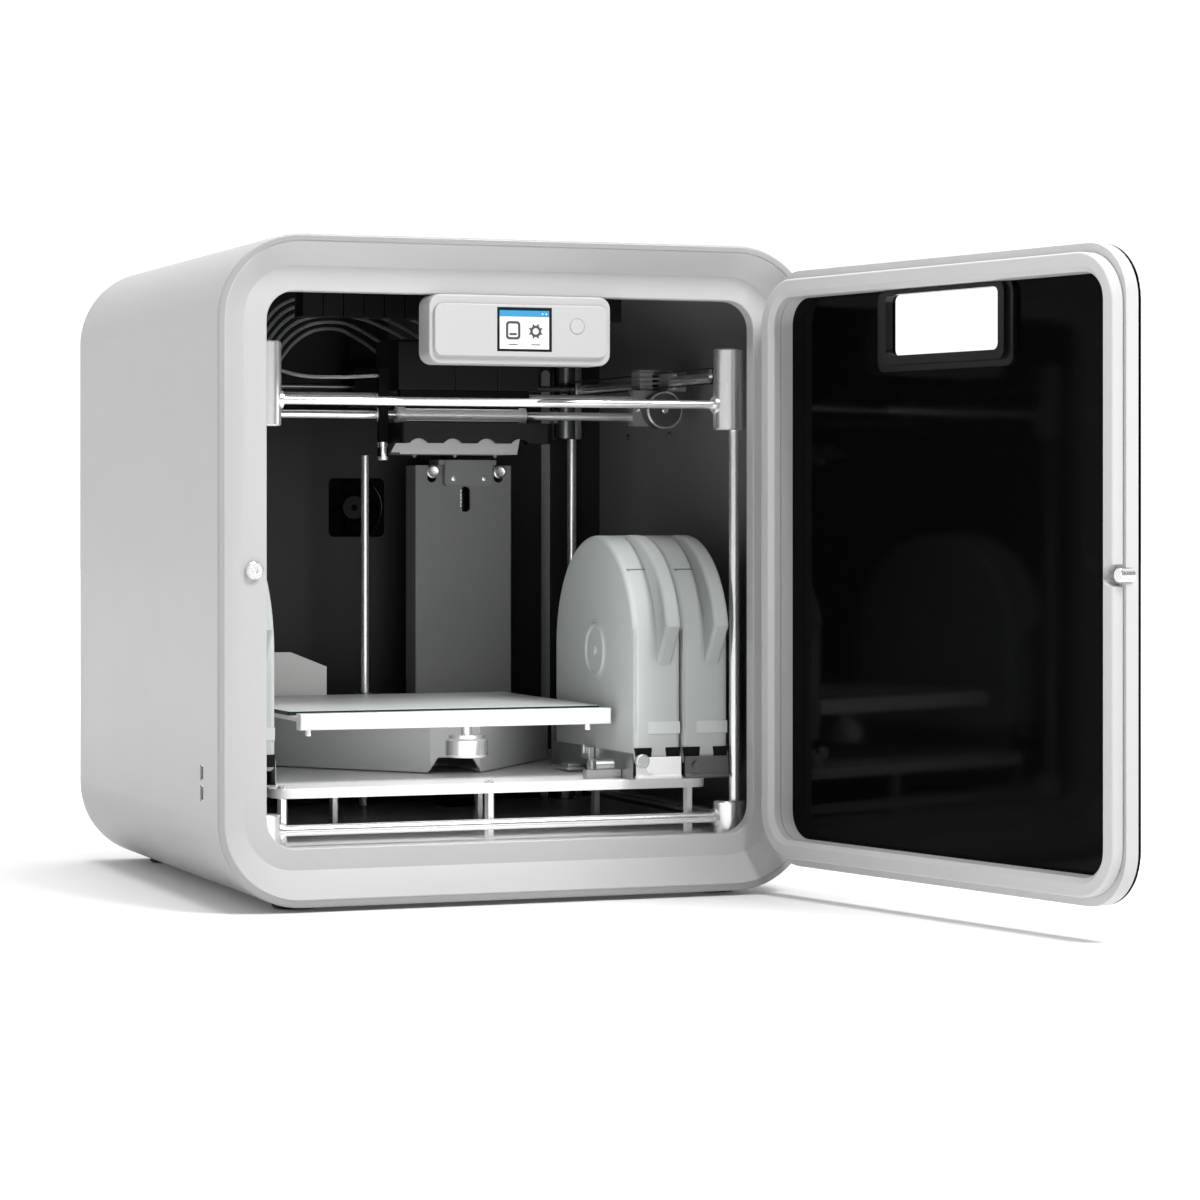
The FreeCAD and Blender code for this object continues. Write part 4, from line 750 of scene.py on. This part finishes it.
def cartridge_details():
    """Hubs, label windows, bumper pads and the parting line near the top of each cartridge, drawn as a dark
    strip of painted shadow.
    """
    ridge_out, depth, bottom_z = 0.024, 0.214, 0.118
    for name in ("left", "middle", "right"):
        low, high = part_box(f"cartridge_{name}")
        body, front = f"cartridge_{name}", low.y + ridge_out
        shell = bmesh.new()
        hub_disc(shell, low.x, front + depth / 2 - 0.004, 0.2215)
        make_piece(f"hub_{name}", shell, "cartridge", body)
        window = bmesh.new()
        add_box(window, (low.x + 0.014, front - 0.0006, 0.1462), (high.x - 0.0006, front + 0.0004, 0.1578))
        add_box(window, (low.x + 0.0003, front - 0.0004, 0.1490), (low.x + 0.0010, front + 0.0040, 0.2440))
        make_piece(f"window_{name}", window, "window", body, bevel=0.0005)
        pads = bmesh.new()
        for x0, x1 in ((low.x + 0.0005, low.x + 0.0175), (high.x - 0.0155, high.x - 0.0005)):
            outline = [(x0 + 0.0015, bottom_z + 0.0040), (x1 - 0.0010, bottom_z + 0.0040),
                       (x1, bottom_z + 0.0155), (x0, bottom_z + 0.0155)]
            add_prism(pads, outline, front - 0.0012, front + 0.0060)
        make_piece(f"pads_{name}", pads, "black", body, bevel=0.0006)
        radius = depth / 2
        # painted shadow: the parting line is a strip in a darker copy of the cartridge colour, standing for
        # the shade in the seam
        line = bmesh.new()
        rise = 0.0745
        y = front + radius - math.sqrt(radius ** 2 - rise ** 2)
        z = high.z - radius + rise
        add_box(line, (low.x + 0.004, y - 0.0004, z), (low.x + 0.0225, y + 0.0012, z + 0.0009))
        add_box(line, (low.x + 0.0052, y - 0.0008, z - 0.0070), (low.x + 0.0062, y + 0.0004, z))
        add_box(line, (low.x + 0.0052, y - 0.0012, z - 0.0076), (low.x + 0.0092, y - 0.0002, z - 0.0068))
        make_piece(f"parting_line_painted_shadow_{name}", line, "seam", body)


def tray_details():
    """The latch block, lever and roller on the side of the middle tray, and the knob on its flap."""
    low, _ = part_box("cartridge_middle")
    wall = low.x - 0.0012
    metal_bits = bmesh.new()
    add_box(metal_bits, (wall - 0.006, -0.112, 0.1170), (wall, -0.090, 0.1290))
    add_box(metal_bits, (wall - 0.009, -0.104, 0.1215), (wall - 0.006, -0.098, 0.1310))
    add_box(metal_bits, (wall - 0.020, -0.092, 0.1052), (wall - 0.002, -0.046, 0.1082))
    add_box(metal_bits, (wall - 0.017, -0.086, 0.1082), (wall - 0.005, -0.066, 0.1112))
    make_piece("tray_latch_block", metal_bits, "steel", "cabinet", bevel=0.0008)
    roller = bmesh.new()
    profile = [(0, -0.0035), (0.0060, -0.0035), (0.0070, -0.0025), (0.0070, 0.0025),
               (0.0060, 0.0035), (0, 0.0035)]
    add_turned(roller, profile, (wall - 0.0050, -0.1195, 0.1115), (1, 0, 0), 24)
    make_piece("tray_roller", roller, "fitting", "cabinet")
    flap_low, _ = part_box("latch_middle")
    knob = bmesh.new()
    add_turned(knob, [(0, 0.0055), (0.0056, 0.0055), (0.0067, 0.0045), (0.0067, 0.0005),
                      (0.0060, 0), (0, 0)],
               (flap_low.x + 0.0045, flap_low.y + 0.0040, flap_low.z + 0.0175), (0, -1, 0), 32)
    make_piece("flap_knob", knob, "steel", "latch_middle")


# ---------------------------------------------------------------- the room

def make_floor():
    """A pale floor that brightens far from the object, so that it runs into the white background."""
    size = 20
    material, tree, shader = principled("pale_floor")
    shade = noise(tree, 3.0)
    tree.links.new(tint(tree, shade, (0.90, 0.90, 0.90), (0.92, 0.92, 0.92)), shader.inputs["Base Color"])
    shader.inputs["Roughness"].default_value = 0.9
    shader.inputs["Emission Color"].default_value = (1, 1, 1, 1)
    coords = tree.nodes.new("ShaderNodeTexCoord")
    reach = tree.nodes.new("ShaderNodeVectorMath")
    reach.operation = "LENGTH"
    tree.links.new(coords.outputs["Object"], reach.inputs[0])
    glow = ramp(tree, reach.outputs["Value"], 0.04, 1.0, start=0.9, end=3.0)
    tree.links.new(glow, shader.inputs["Emission Strength"])
    mesh = bpy.data.meshes.new("floor")
    corners = [(-size, -size, 0), (size, -size, 0), (size, size, 0), (-size, size, 0)]
    mesh.from_pydata(corners, [], [(0, 1, 2, 3)])
    mesh.materials.append(material)
    floor = bpy.data.objects.new("floor", mesh)
    floor.location.z = -0.0005
    bpy.context.scene.collection.objects.link(floor)


make_camera()
make_world()
make_lights()
dress_cad_nodes()
make_floor()
panel_icons()
threaded_screw()
feed_tubes()
visible_screws()
clamp_ribs()
motor_rim_highlight()
vent_filters()
bed_edge()
hexagonal_standoffs()
height_sensor()
fitting_sleeves()
bracket_screws()
cartridge_details()
tray_details()
